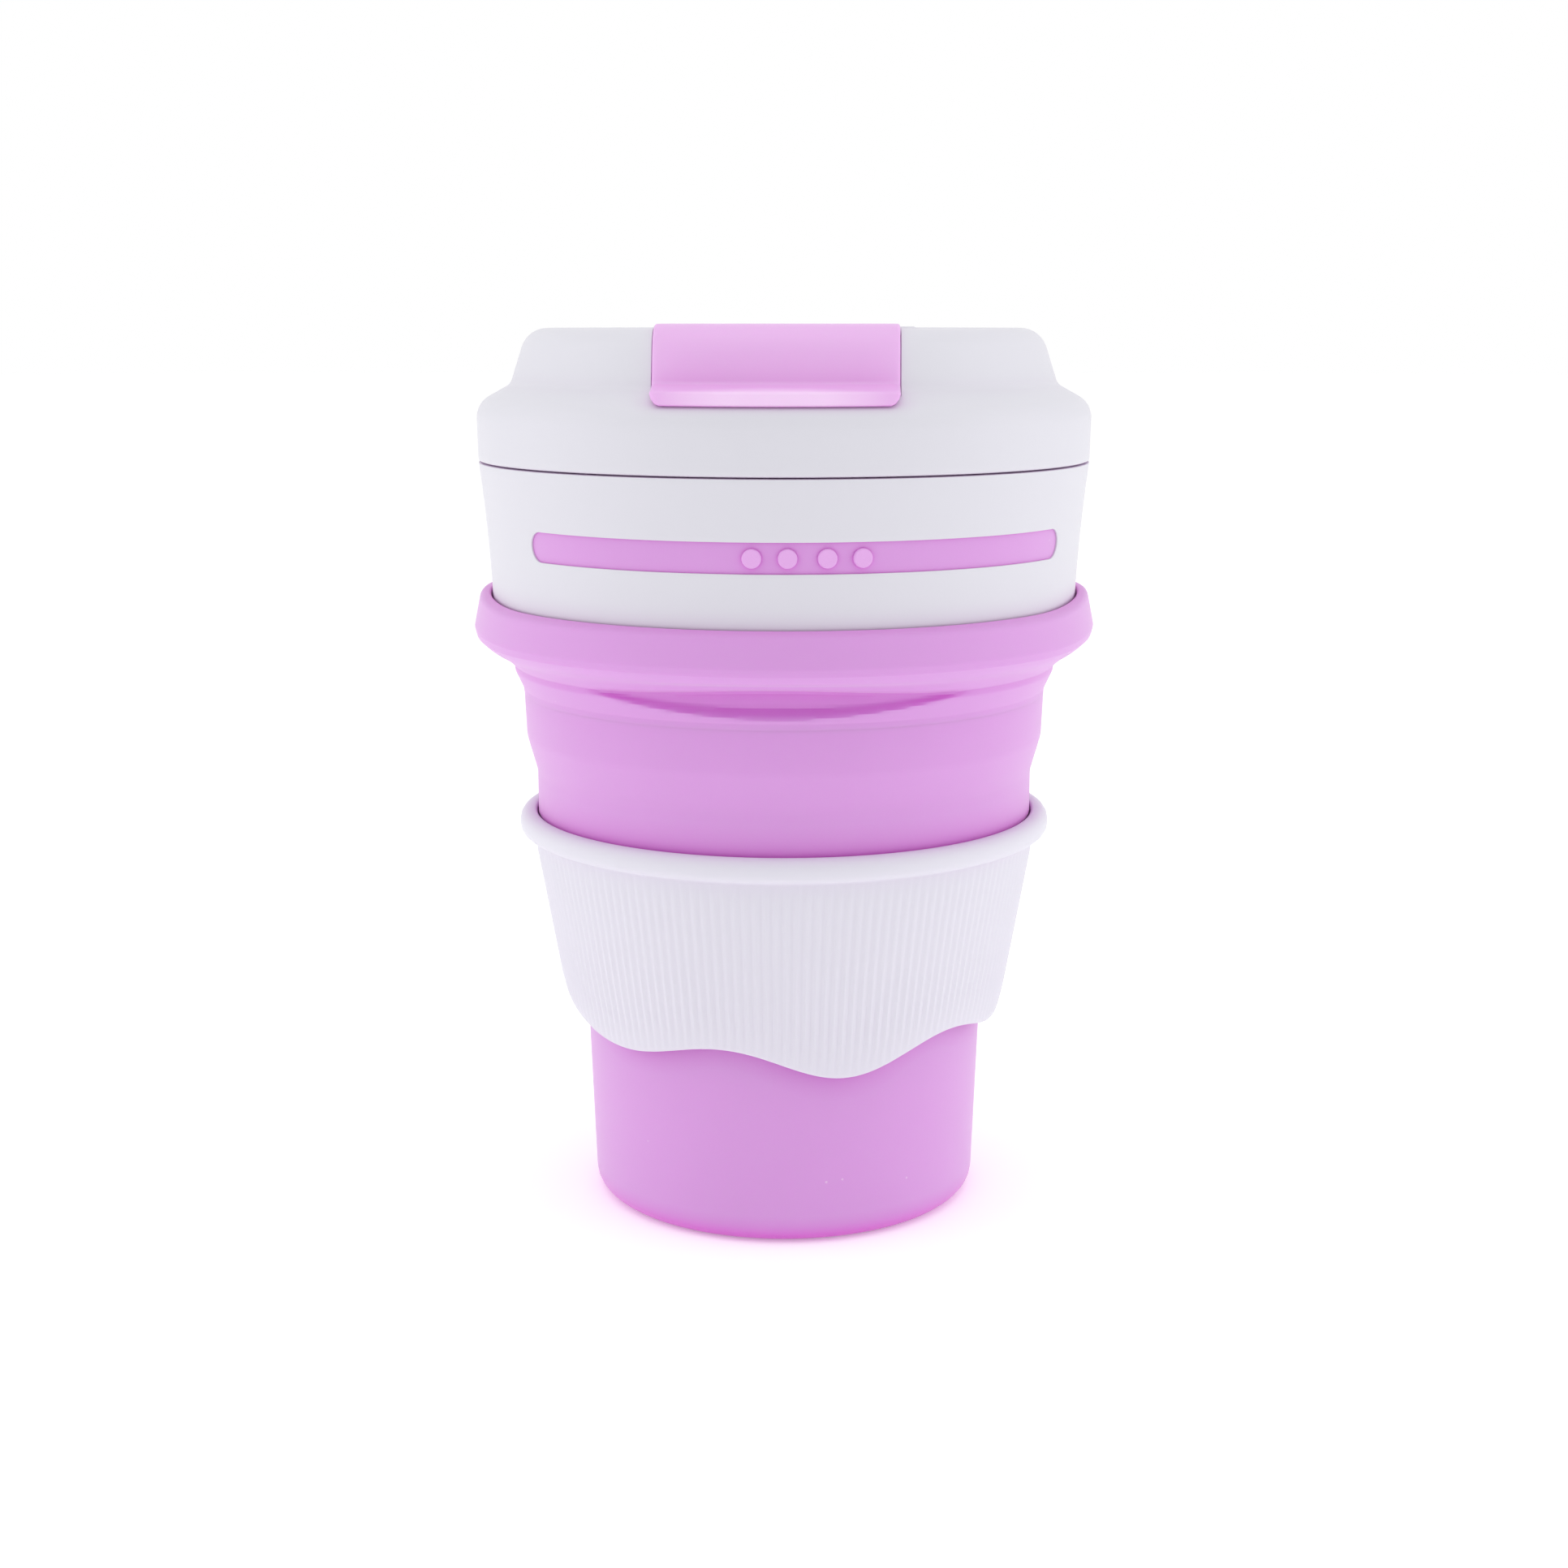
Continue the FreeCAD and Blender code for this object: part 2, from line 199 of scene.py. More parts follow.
def tidy(bm: bmesh.types.BMesh, weld: float = WELD) -> bmesh.types.BMesh:
    """Merges doubled vertices, drops stray ones and turns the faces outwards.

    Args:
        bm: the mesh to clean.
        weld: distance within which vertices become one.

    Returns:
        The same mesh.
    """
    bmesh.ops.remove_doubles(bm, verts=bm.verts, dist=weld)
    bmesh.ops.dissolve_degenerate(bm, edges=bm.edges, dist=weld)
    wires = [edge for edge in bm.edges if not edge.link_faces]
    bmesh.ops.delete(bm, geom=wires, context="EDGES")
    strays = [vert for vert in bm.verts if not vert.link_faces]
    bmesh.ops.delete(bm, geom=strays, context="VERTS")
    bmesh.ops.recalc_face_normals(bm, faces=bm.faces)
    return bm


def reshape(bm: bmesh.types.BMesh, move: Callable[[Vector], Vector]) -> bmesh.types.BMesh:
    """Moves every vertex by a rule."""
    for vert in bm.verts:
        vert.co = move(vert.co)
    return bm


def round_edges(bm: bmesh.types.BMesh, width: float, segments: int = 3,
                sharper_than: float = 60.0) -> None:
    """Rounds the edges where two faces meet more sharply than an angle.

    Args:
        bm: the mesh.
        width: how far the rounding reaches from the edge.
        segments: faces across the rounding.
        sharper_than: least angle between the faces, in degrees.
    """
    least = math.radians(sharper_than)
    chosen = [edge for edge in bm.edges if len(edge.link_faces) == 2 and edge.calc_face_angle() > least]
    bmesh.ops.bevel(bm, geom=chosen, offset=width, offset_type="OFFSET", segments=segments, profile=0.5,
                    affect="EDGES", material=-1, clamp_overlap=True)
    bmesh.ops.recalc_face_normals(bm, faces=bm.faces)


def smooth(mesh: bpy.types.Mesh) -> None:
    """Shades a mesh smooth except over its sharp edges."""
    mesh.shade_smooth()
    mesh.set_sharp_from_angle(angle=math.radians(SMOOTH_BELOW))


def absorb(bm: bmesh.types.BMesh, other: bmesh.types.BMesh) -> None:
    """Adds another mesh to this one.

    Args:
        bm: the mesh that grows.
        other: the mesh to add, which is freed.
    """
    mesh = bpy.data.meshes.new("absorbed")
    other.to_mesh(mesh)
    other.free()
    bm.from_mesh(mesh)
    bpy.data.meshes.remove(mesh)


def outward_wall(bm: bmesh.types.BMesh, thickness: float) -> None:
    """Turns a sheet round the axis to face outwards and thickens it inwards.

    Args:
        bm: the sheet.
        thickness: thickness of the wall.
    """
    outward = sum(face.normal.dot(face.calc_center_median()) > 0 for face in bm.faces)
    if outward < len(bm.faces) / 2:
        bmesh.ops.reverse_faces(bm, faces=bm.faces)
    bmesh.ops.solidify(bm, geom=bm.faces[:], thickness=thickness)


def make_object(name: str, bm: bmesh.types.BMesh) -> bpy.types.Object:
    """An object at the origin, smooth except over sharp edges.

    Args:
        name: name of the object and its mesh.
        bm: the mesh, which is used up.

    Returns:
        The object, linked to the scene.
    """
    mesh = bpy.data.meshes.new(name)
    bm.to_mesh(mesh)
    bm.free()
    smooth(mesh)
    obj = bpy.data.objects.new(name, mesh)
    bpy.context.scene.collection.objects.link(obj)
    return obj


def carve(obj: bpy.types.Object, tools: Iterable[tuple[str, bmesh.types.BMesh]]) -> bpy.types.Object:
    """Joins or cuts closed shapes and keeps only the result.

    Args:
        obj: the piece to work on.
        tools: pairs of "UNION" or "DIFFERENCE" and the closed shape.

    Returns:
        The same object, with its mesh replaced.
    """
    for kind, shape in tools:
        tool = make_object("carving_tool", shape)
        modifier = obj.modifiers.new("carve", "BOOLEAN")
        modifier.operation = kind
        modifier.solver = "EXACT"
        modifier.object = tool
        result = bpy.data.meshes.new_from_object(obj.evaluated_get(bpy.context.evaluated_depsgraph_get()))
        obj.modifiers.clear()
        obj.data = result
        bpy.data.objects.remove(tool)
    bm = bmesh.new()
    bm.from_mesh(obj.data)
    tidy(bm, CARVE_WELD)
    bm.to_mesh(obj.data)
    bm.free()
    smooth(obj.data)
    return obj


def cylinder(radius: float, start: Vector, end: Vector, segments: int = 48) -> bmesh.types.BMesh:
    """A closed cylinder between two points.

    Args:
        radius: its radius.
        start: middle of one end.
        end: middle of the other.
        segments: divisions around.

    Returns:
        The closed cylinder.
    """
    bm = bmesh.new()
    run = end - start
    place = Matrix.Translation((start + end) / 2) @ run.to_track_quat("Z", "Y").to_matrix().to_4x4()
    bmesh.ops.create_cone(bm, cap_ends=True, segments=segments, radius1=radius, radius2=radius,
                          depth=run.length, matrix=place)
    return bm


def stadium(half_length: float, radius: float, low: float, high: float, y: float) -> bmesh.types.BMesh:
    """An upright prism with full-round ends along X.

    Args:
        half_length: half the straight part.
        radius: radius of the ends.
        low: height of the underside.
        high: height of the top.
        y: where its middle lies.

    Returns:
        The closed prism.
    """
    bm = cylinder(radius, Vector((0, y, low)), Vector((0, y, high)), 64)
    return reshape(bm, lambda place: place + Vector((math.copysign(half_length, place.x), 0, 0)))


# ---------------------------------------------------------------- finishes
class NodeTree:
    """A short way to add and link shader nodes."""

    def __init__(self, tree: bpy.types.NodeTree) -> None:
        """Keeps the tree."""
        self.tree = tree

    def add(self, kind: str, inputs: dict | None = None, **settings: object) -> bpy.types.Node:
        """Adds a node.

        Args:
            kind: node type without the ShaderNode prefix.
            inputs: socket name or number to a value, or to the socket that feeds it.
            settings: the node's own properties.

        Returns:
            The new node.
        """
        node = self.tree.nodes.new(f"ShaderNode{kind}")
        for key, value in settings.items():
            setattr(node, key, value)
        return self.fill(node, inputs or {})

    def group(self, group: bpy.types.NodeTree, inputs: dict) -> bpy.types.Node:
        """Places a node group and sets or links its inputs."""
        return self.add("Group", inputs, node_tree=group)

    def fill(self, node: bpy.types.Node, inputs: dict) -> bpy.types.Node:
        """Sets or links a node's inputs.

        Args:
            node: the node.
            inputs: socket name or number to a value, or to the socket that feeds it.

        Returns:
            The same node.
        """
        for socket, value in inputs.items():
            if isinstance(value, bpy.types.NodeSocket):
                self.tree.links.new(value, node.inputs[socket])
            else:
                node.inputs[socket].default_value = value
        return node


def empty_material(name: str) -> bpy.types.Material:
    """A new node material with no nodes."""
    material = bpy.data.materials.new(name)
    material.use_nodes = True
    material.node_tree.nodes.clear()
    return material


class SharedEffect(Enum):
    """The node groups that several finishes use."""

    GRAIN = "moulded_grain"
    # Painted shade for creases and for places close to other parts.
    CAVITY = "painted_shade_tone"
    SPECKS = "fine_specks"

    def tree(self) -> bpy.types.NodeTree:
        """The group, built the first time it is asked for."""
        found = bpy.data.node_groups.get(self.value)
        return found or {"GRAIN": build_grain, "CAVITY": build_painted_shade, "SPECKS": build_specks}[self.name]()


def new_group(name: str, inputs: dict[str, float], outputs: Sequence[str]) -> tuple:
    """An empty shader group with float sockets.

    Args:
        name: name of the group.
        inputs: input sockets with their default values.
        outputs: output sockets.

    Returns:
        The group, its input node and its output node.
    """
    group = bpy.data.node_groups.new(name, "ShaderNodeTree")
    for socket, value in inputs.items():
        added = group.interface.new_socket(socket, in_out="INPUT", socket_type="NodeSocketFloat")
        added.default_value = value
    for socket in outputs:
        group.interface.new_socket(socket, in_out="OUTPUT", socket_type="NodeSocketFloat")
    return group, group.nodes.new("NodeGroupInput"), group.nodes.new("NodeGroupOutput")


def build_grain() -> bpy.types.NodeTree:
    """Moulded grain: Height for a Bump node, and a slow Variation for tone and gloss."""
    group, given, out = new_group(SharedEffect.GRAIN.value, {"Scale": 2500.0, "Sway": 60.0},
                                  ("Height", "Variation"))
    tree = NodeTree(group)
    place = tree.add("TexCoord").outputs["Object"]
    fine = tree.add("TexNoise", {"Vector": place, "Scale": given.outputs["Scale"], "Detail": 3.0,
                                 "Roughness": 0.6})
    slow = tree.add("TexNoise", {"Vector": place, "Scale": given.outputs["Sway"], "Detail": 2.0})
    share = tree.add("Math", {0: fine.outputs["Fac"], 1: slow.outputs["Fac"]}, operation="ADD")
    group.links.new(share.outputs[0], out.inputs["Height"])
    group.links.new(slow.outputs["Fac"], out.inputs["Variation"])
    return group


def build_painted_shade() -> bpy.types.NodeTree:
    """Painted shade mask: how enclosed the surface is, 0 in the open, towards 1 in creases and against
    neighbours.
    """
    group, given, out = new_group(SharedEffect.CAVITY.value, {"Reach": 0.006, "Contrast": 1.0}, ("Depth",))
    tree = NodeTree(group)
    occlusion = tree.add("AmbientOcclusion", {"Distance": given.outputs["Reach"]}, samples=8)
    closed = tree.add("Math", {0: 1.0, 1: occlusion.outputs["AO"]}, operation="SUBTRACT")
    scaled = tree.add("Math", {0: closed.outputs[0], 1: given.outputs["Contrast"]},
                      operation="MULTIPLY", use_clamp=True)
    group.links.new(scaled.outputs[0], out.inputs["Depth"])
    return group


def build_specks() -> bpy.types.NodeTree:
    """Sparse fine dust specks, as a Mask."""
    group, given, out = new_group(SharedEffect.SPECKS.value, {"Scale": 260.0, "Size": 0.06}, ("Mask",))
    tree = NodeTree(group)
    place = tree.add("TexCoord").outputs["Object"]
    cells = tree.add("TexVoronoi", {"Vector": place, "Scale": given.outputs["Scale"]})
    dots = tree.add("Math", {0: cells.outputs["Distance"], 1: given.outputs["Size"]}, operation="LESS_THAN")
    patches = tree.add("TexNoise", {"Vector": place, "Scale": 45.0, "Detail": 1.0})
    chosen = tree.add("Math", {0: patches.outputs["Fac"], 1: 0.6}, operation="GREATER_THAN")
    mask = tree.add("Math", {0: dots.outputs[0], 1: chosen.outputs[0]}, operation="MULTIPLY")
    group.links.new(mask.outputs[0], out.inputs["Mask"])
    return group


DUST: Colour = (0.9, 0.88, 0.9, 1.0)


@dataclass(frozen=True)
class MouldedFinish:
    """A moulded silicone or plastic finish, with painted shade in its creases and, where set, a band of
    painted light.
    """

    name: str
    slot: str
    colour: Colour
    # The colour that creases and places near other parts are mixed towards: painted shade.
    painted_shade: Colour
    painted_shade_contrast: float = 1.0
    painted_shade_reach: float = 6.0 * MM
    tone_spread: float = 0.04
    roughness: float = 0.5
    grain_scale: float = 2500.0
    grain_height: float = 0.01 * MM
    grain_strength: float = 0.25
    ior: float = 1.45
    specular: float = 0.5
    sheen: float = 0.0
    scatter: float = 0.0
    scatter_depth: float = 1.5 * MM
    scatter_tint: tuple[float, float, float] = (1.0, 0.5, 0.9)
    specks: float = 0.0
    # A paler band painted on the tab's lip, between these distances in front of the axis: painted light,
    # for light shining through the thin lip and the highlight along its edge.
    lip_light_colour: Colour = (1.0, 1.0, 1.0, 1.0)
    lip_light_share: float = 0.0
    lip_light_from: float = 41.5 * MM
    lip_light_to: float = 43.6 * MM

    def material(self) -> bpy.types.Material:
        """The finish as a node material, built once."""
        found = bpy.data.materials.get(self.name)
        if found:
            return found
        material = empty_material(self.name)
        tree = NodeTree(material.node_tree)
        grain = tree.group(SharedEffect.GRAIN.tree(), {"Scale": self.grain_scale, "Sway": 60.0})
        # Painted shade: how enclosed each point is, from ambient occlusion.
        painted_shade = tree.group(SharedEffect.CAVITY.tree(),
                            {"Reach": self.painted_shade_reach, "Contrast": self.painted_shade_contrast})
        specks = tree.group(SharedEffect.SPECKS.tree(), {"Scale": 260.0, "Size": 0.05})
        darker = tuple(channel * (1 - self.tone_spread) for channel in self.colour[:3]) + (1.0,)
        tone = tree.add("Mix", {"Factor": grain.outputs["Variation"], "A": darker, "B": self.colour},
                        data_type="RGBA")
        # Painted light: the lip at the front is mixed towards a paler colour, for light shining through the
        # thin plastic.
        if self.lip_light_share:
            place = tree.add("SeparateXYZ", {"Vector": tree.add("TexCoord").outputs["Object"]})
            lip_light = tree.add("MapRange", {"Value": place.outputs["Y"], "From Min": -self.lip_light_from,
                                         "From Max": -self.lip_light_to, "To Max": self.lip_light_share})
            tone = tree.add("Mix", {"Factor": lip_light.outputs["Result"], "A": tone.outputs["Result"],
                                    "B": self.lip_light_colour}, data_type="RGBA")
        # Painted shade: creases and places close to other parts are mixed towards the shade colour.
        crease_shaded = tree.add("Mix", {"Factor": painted_shade.outputs["Depth"], "A": tone.outputs["Result"],
                                 "B": self.painted_shade}, data_type="RGBA")
        share = tree.add("Math", {0: specks.outputs["Mask"], 1: self.specks}, operation="MULTIPLY")
        dusted = tree.add("Mix", {"Factor": share.outputs[0], "A": crease_shaded.outputs["Result"],
                                  "B": DUST}, data_type="RGBA")
        gloss = tree.add("MapRange", {"Value": grain.outputs["Variation"], "To Min": self.roughness - 0.05,
                                      "To Max": self.roughness + 0.05})
        bump = tree.add("Bump", {"Height": grain.outputs["Height"], "Strength": self.grain_strength,
                                 "Distance": self.grain_height})
        shader = tree.add("BsdfPrincipled", {
            "Base Color": dusted.outputs["Result"], "Roughness": gloss.outputs["Result"],
            "Normal": bump.outputs["Normal"], "IOR": self.ior, "Specular IOR Level": self.specular,
            "Sheen Weight": self.sheen, "Sheen Roughness": 0.5, "Subsurface Weight": self.scatter,
            "Subsurface Radius": self.scatter_tint, "Subsurface Scale": self.scatter_depth})
        out = tree.add("OutputMaterial")
        material.node_tree.links.new(shader.outputs["BSDF"], out.inputs["Surface"])
        return material


@dataclass(frozen=True)
class DrawnSteel:
    """Bright drawn steel with fine lines along X."""

    name: str = "drawn_steel"
    slot: str = "pin_steel"
    colour: Colour = (0.6, 0.6, 0.62, 1.0)
    roughness: float = 0.25

    def material(self) -> bpy.types.Material:
        """The finish as a node material, built once."""
        found = bpy.data.materials.get(self.name)
        if found:
            return found
        material = empty_material(self.name)
        tree = NodeTree(material.node_tree)
        place = tree.add("TexCoord").outputs["Object"]
        drawn = tree.add("Mapping", {"Vector": place, "Scale": (0.05, 1.0, 1.0)})
        lines = tree.add("TexNoise", {"Vector": drawn.outputs["Vector"], "Scale": 4000.0, "Detail": 2.0})
        gloss = tree.add("MapRange", {"Value": lines.outputs["Fac"], "To Min": self.roughness - 0.08,
                                      "To Max": self.roughness + 0.12})
        bump = tree.add("Bump", {"Height": lines.outputs["Fac"], "Strength": 0.2, "Distance": 0.01 * MM})
        shader = tree.add("BsdfPrincipled", {"Base Color": self.colour, "Metallic": 1.0,
                                             "Roughness": gloss.outputs["Result"],
                                             "Normal": bump.outputs["Normal"]})
        out = tree.add("OutputMaterial")
        material.node_tree.links.new(shader.outputs["BSDF"], out.inputs["Surface"])
        return material


# Each finish's second colour is its painted shade for creases and for places close to other parts.
LILAC_SILICONE = MouldedFinish(
    "soft_lilac_silicone", "lilac_silicone", srgb(216, 156, 222), srgb(214, 84, 206), painted_shade_contrast=1.25,
    painted_shade_reach=4.5 * MM, roughness=0.52, ior=1.41, specular=0.4, sheen=0.3, scatter=0.25,
    scatter_depth=1.2 * MM, specks=0.3)
# The studs wear the lilac silicone painted paler: a painted highlight for the light their raised domes
# catch.
LILAC_STUD_PAINTED_LIT = MouldedFinish(
    "lilac_silicone_painted_lit", "lilac_silicone", srgb(228, 172, 233), srgb(222, 120, 220), painted_shade_contrast=0.6,
    roughness=0.5, ior=1.41, specular=0.4, sheen=0.15)
# The tab's lip gets a band of painted light for light shining through the thin plastic.
LILAC_PLASTIC = MouldedFinish(
    "satin_lilac_plastic", "lilac_plastic", srgb(232, 182, 235), srgb(216, 96, 208), painted_shade_contrast=1.0,
    lip_light_colour=srgb(246, 216, 248), lip_light_share=0.8, roughness=0.42, ior=1.49, scatter=0.2,
    scatter_depth=1.0 * MM)
# The white finishes' painted shade is tinted lilac: painted reflection of light bounced off the lilac
# parts.
WHITE_PLASTIC = MouldedFinish(
    "satin_white_plastic", "white_plastic", srgb(219, 218, 226), srgb(200, 150, 204), painted_shade_contrast=0.5,
    painted_shade_reach=3.0 * MM, tone_spread=0.015, roughness=0.44, ior=1.49, grain_strength=0.15,
    scatter=0.1, scatter_depth=0.8 * MM, scatter_tint=(1.0, 0.95, 0.95))
WHITE_SILICONE = MouldedFinish(
    "soft_white_silicone", "white_silicone", srgb(224, 222, 232), srgb(200, 170, 206), painted_shade_contrast=0.5,
    painted_shade_reach=3.0 * MM, tone_spread=0.015, roughness=0.58, ior=1.41, specular=0.4, sheen=0.1,
    scatter=0.15, scatter_depth=1.0 * MM, scatter_tint=(1.0, 0.95, 0.95))
STEEL = DrawnSteel()


def dress(obj: bpy.types.Object, finish: MouldedFinish | DrawnSteel, replaced: Sequence[str]) -> None:
    """Gives a piece its finish and says which nodes of the frame it stands for.

    Args:
        obj: the piece.
        finish: the finish to wear.
        replaced: names of the nodes it stands for.
    """
    obj.data.materials.clear()
    obj.data.materials.append(finish.material())
    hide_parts(*replaced)
    log.info("%s: %d faces, finish %s, stands for %s", obj.name, len(obj.data.polygons), finish.name,
             ", ".join(replaced))


# ---------------------------------------------------------------- sub-assemblies
@dataclass
class CupBody:
    """The silicone body: a base cup, five folding stretches of wall, and the rim."""

    base_corner: float = 3.0
    base_taper: float = 1.15
    floor: float = 2.0
    base_wall: float = 1.5
    ring_walls: tuple[float, ...] = (1.2, 1.2, 1.4, 1.1)
    fold_rounding: tuple[float, ...] = (2.0, 2.0, 2.5, 5.0)
    seat_overlap: float = 0.2
    dent_depth: float = 2.1
    dent_height: float = 2.9
    dent_lift: float = 1.1
    dent_half_angle: float = 42.0
    flange_sag: float = 1.2
    sag_fade: tuple[float, float] = (math.radians(55.0), math.radians(95.0))
    bodies: tuple[str, ...] = ("base", "tier_1", "tier_2", "tier_3", "tier_4", "rim")

    def ring_rows(self, index: int) -> tuple[float, float, float, float, float]:
        """One wall ring in millimetres: foot height, top height, foot radius, top radius, wall."""
        low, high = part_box(f"cup_tier_{index + 1}")
        web_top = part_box(f"fold_web_{index + 1}")[1]
        return low.z / MM, high.z / MM, web_top.x / MM, high.x / MM, self.ring_walls[index]

    def build(self) -> None:
        """Makes and dresses every stretch of the body."""
        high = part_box("cup_base")[1]
        top, radius = high.z / MM, high.x / MM
        foot = radius - self.base_taper
        base = make_object("cup_base_skin", lathe(Outline(corners(
            (0, 0), (foot, 0, self.base_corner), (radius, top), (radius - self.base_wall, top),
            (foot - self.base_wall, self.floor, 1.75), (0, self.floor)), closed=False)))
        dress(base, LILAC_SILICONE, ["cup_base"])
        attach(base, "base")
        below = (top, radius, self.base_wall)
        for index in range(4):
            below = self.fold(index, below)
        self.rim(below)

    def fold(self, index: int, below: tuple[float, float, float]) -> tuple[float, float, float]:
        """One fold and the ring above it.

        Args:
            index: number of the ring, from 0.
            below: height, outer radius and wall where the stretch below ends.

        Returns:
            The same three values where this stretch ends.
        """
        z0, z1, foot, head, wall = self.ring_rows(index)
        start_z, start_r, start_wall = below
        soft = self.fold_rounding[index]
        end_z = z0 + self.seat_overlap if index == 2 else z1
        end_r = foot if index == 2 else head
        rows = [(start_r, start_z)]
        inner = [(start_r - start_wall, start_z)]
        if index == 3:
            fold_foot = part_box("cup_tier_3")[1].z / MM
            rows.append((start_r, fold_foot + 0.2, soft))
            inner.append((start_r - start_wall, fold_foot - 0.2, soft))
        if index != 2:
            rows.append((foot, z0, soft))
            inner.append((foot - wall, z0, soft))
        rows += [(end_r, end_z), (end_r - wall, end_z)]
        outline = Outline(corners(*rows, *reversed(inner)), run=0.7 * MM, arc_steps=8)
        piece = make_object(f"cup_fold_{index + 1}", lathe(outline))
        ring = f"cup_tier_{index + 1}"
        dress(piece, LILAC_SILICONE, [f"fold_web_{index + 1}", ring])
        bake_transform(piece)
        return end_z, end_r, wall

    def rim(self, below: tuple[float, float, float]) -> None:
        """The stepped fold, the flange, the lining and the lip.

        Args:
            below: height, outer radius and wall where the last ring ends.
        """
        start_z, start_r, wall = below
        low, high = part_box("cup_rim")
        collar_low, collar_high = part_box("collar")
        base, wide, lip = low.z / MM, high.x / MM, high.z / MM
        seat, crown = collar_low.z / MM, collar_high.z / MM
        collar_top = collar_high.x / MM
        lining = start_r + 1.0
        outline = Outline(corners(
            (start_r, start_z), (start_r + 0.1, start_z + 0.9, 0.8), (start_r + 1.3, base - 5.9, 1.2),
            (start_r + 1.4, base - 4.95, 0.35), (wide - 0.25, base + 0.05, 0.2),
            (wide, base + 1.1, 0.4), (wide - 0.95, seat + 1.85, 0.8), (wide - 2.5, seat + 2.0, 0.35),
            (wide - 2.55, seat), (lining + 1.4, seat), (lining + 1.85, seat + 7.8),
            (collar_top - 1.88, crown), (collar_top - 1.9, lip, 0.3), (lining + 1.15, lip, 0.3),
            (lining + 1.05, base + 13.3, 8.0),
            (lining, base), (lining, base - 2.7, 1.0), (start_r - wall, start_z)),
            run=0.5 * MM)
        bm = reshape(lathe(outline, 256), self.front_dent(base))
        piece = make_object("cup_rim_skin", bm)
        dress(piece, LILAC_SILICONE, ["fold_web_5", "cup_rim"])
        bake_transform(piece)

    def front_dent(self, base: float) -> Callable[[Vector], Vector]:
        """The crease at the front of the stepped fold, left by repeated folding.

        Args:
            base: height of the flange's underside in millimetres.

        Returns:
            A rule that moves a vertex.
        """
        shelf = (base - 5.1) * MM
        flange = (base - 0.6) * MM
        reach = math.radians(self.dent_half_angle)
        flange_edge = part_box("cup_rim")[1].x - 0.9 * MM
        flange_foot = flange_edge - 4.0 * MM
        top = (base + 6.4) * MM

        def move(place: Vector) -> Vector:
            """Pushes the wall in below the shelf, and draws the shelf's edge up."""
            angle = azimuth_of(place)
            across = math.cos(min(abs(angle) / reach, 1.0) * math.pi / 2) ** 2
            foot = shelf - self.dent_height * MM * math.sqrt(across) - 0.1 * MM
            depth = smoothstep(foot, foot + 0.6 * (shelf - foot) + 0.1 * MM, place.z)
            depth *= 1 - smoothstep(shelf - 0.15 * MM, shelf + 0.45 * MM, place.z)
            lift = smoothstep(shelf - 1.2 * MM, shelf, place.z) * (1 - smoothstep(shelf, flange, place.z))
            radius = math.hypot(place.x, place.y)
            pushed = radius - self.dent_depth * MM * math.sqrt(across) * depth
            sag = self.flange_sag * MM * (1 - smoothstep(*self.sag_fade, abs(angle)))
            sag *= smoothstep(flange_foot, flange_edge, radius) * (1 - smoothstep(top, top + MM, place.z))
            sag *= 1 + 0.4 * smoothstep(flange, top, place.z)
            return on_ring(pushed, angle, place.z + self.dent_lift * MM * across * lift - sag)
        return move


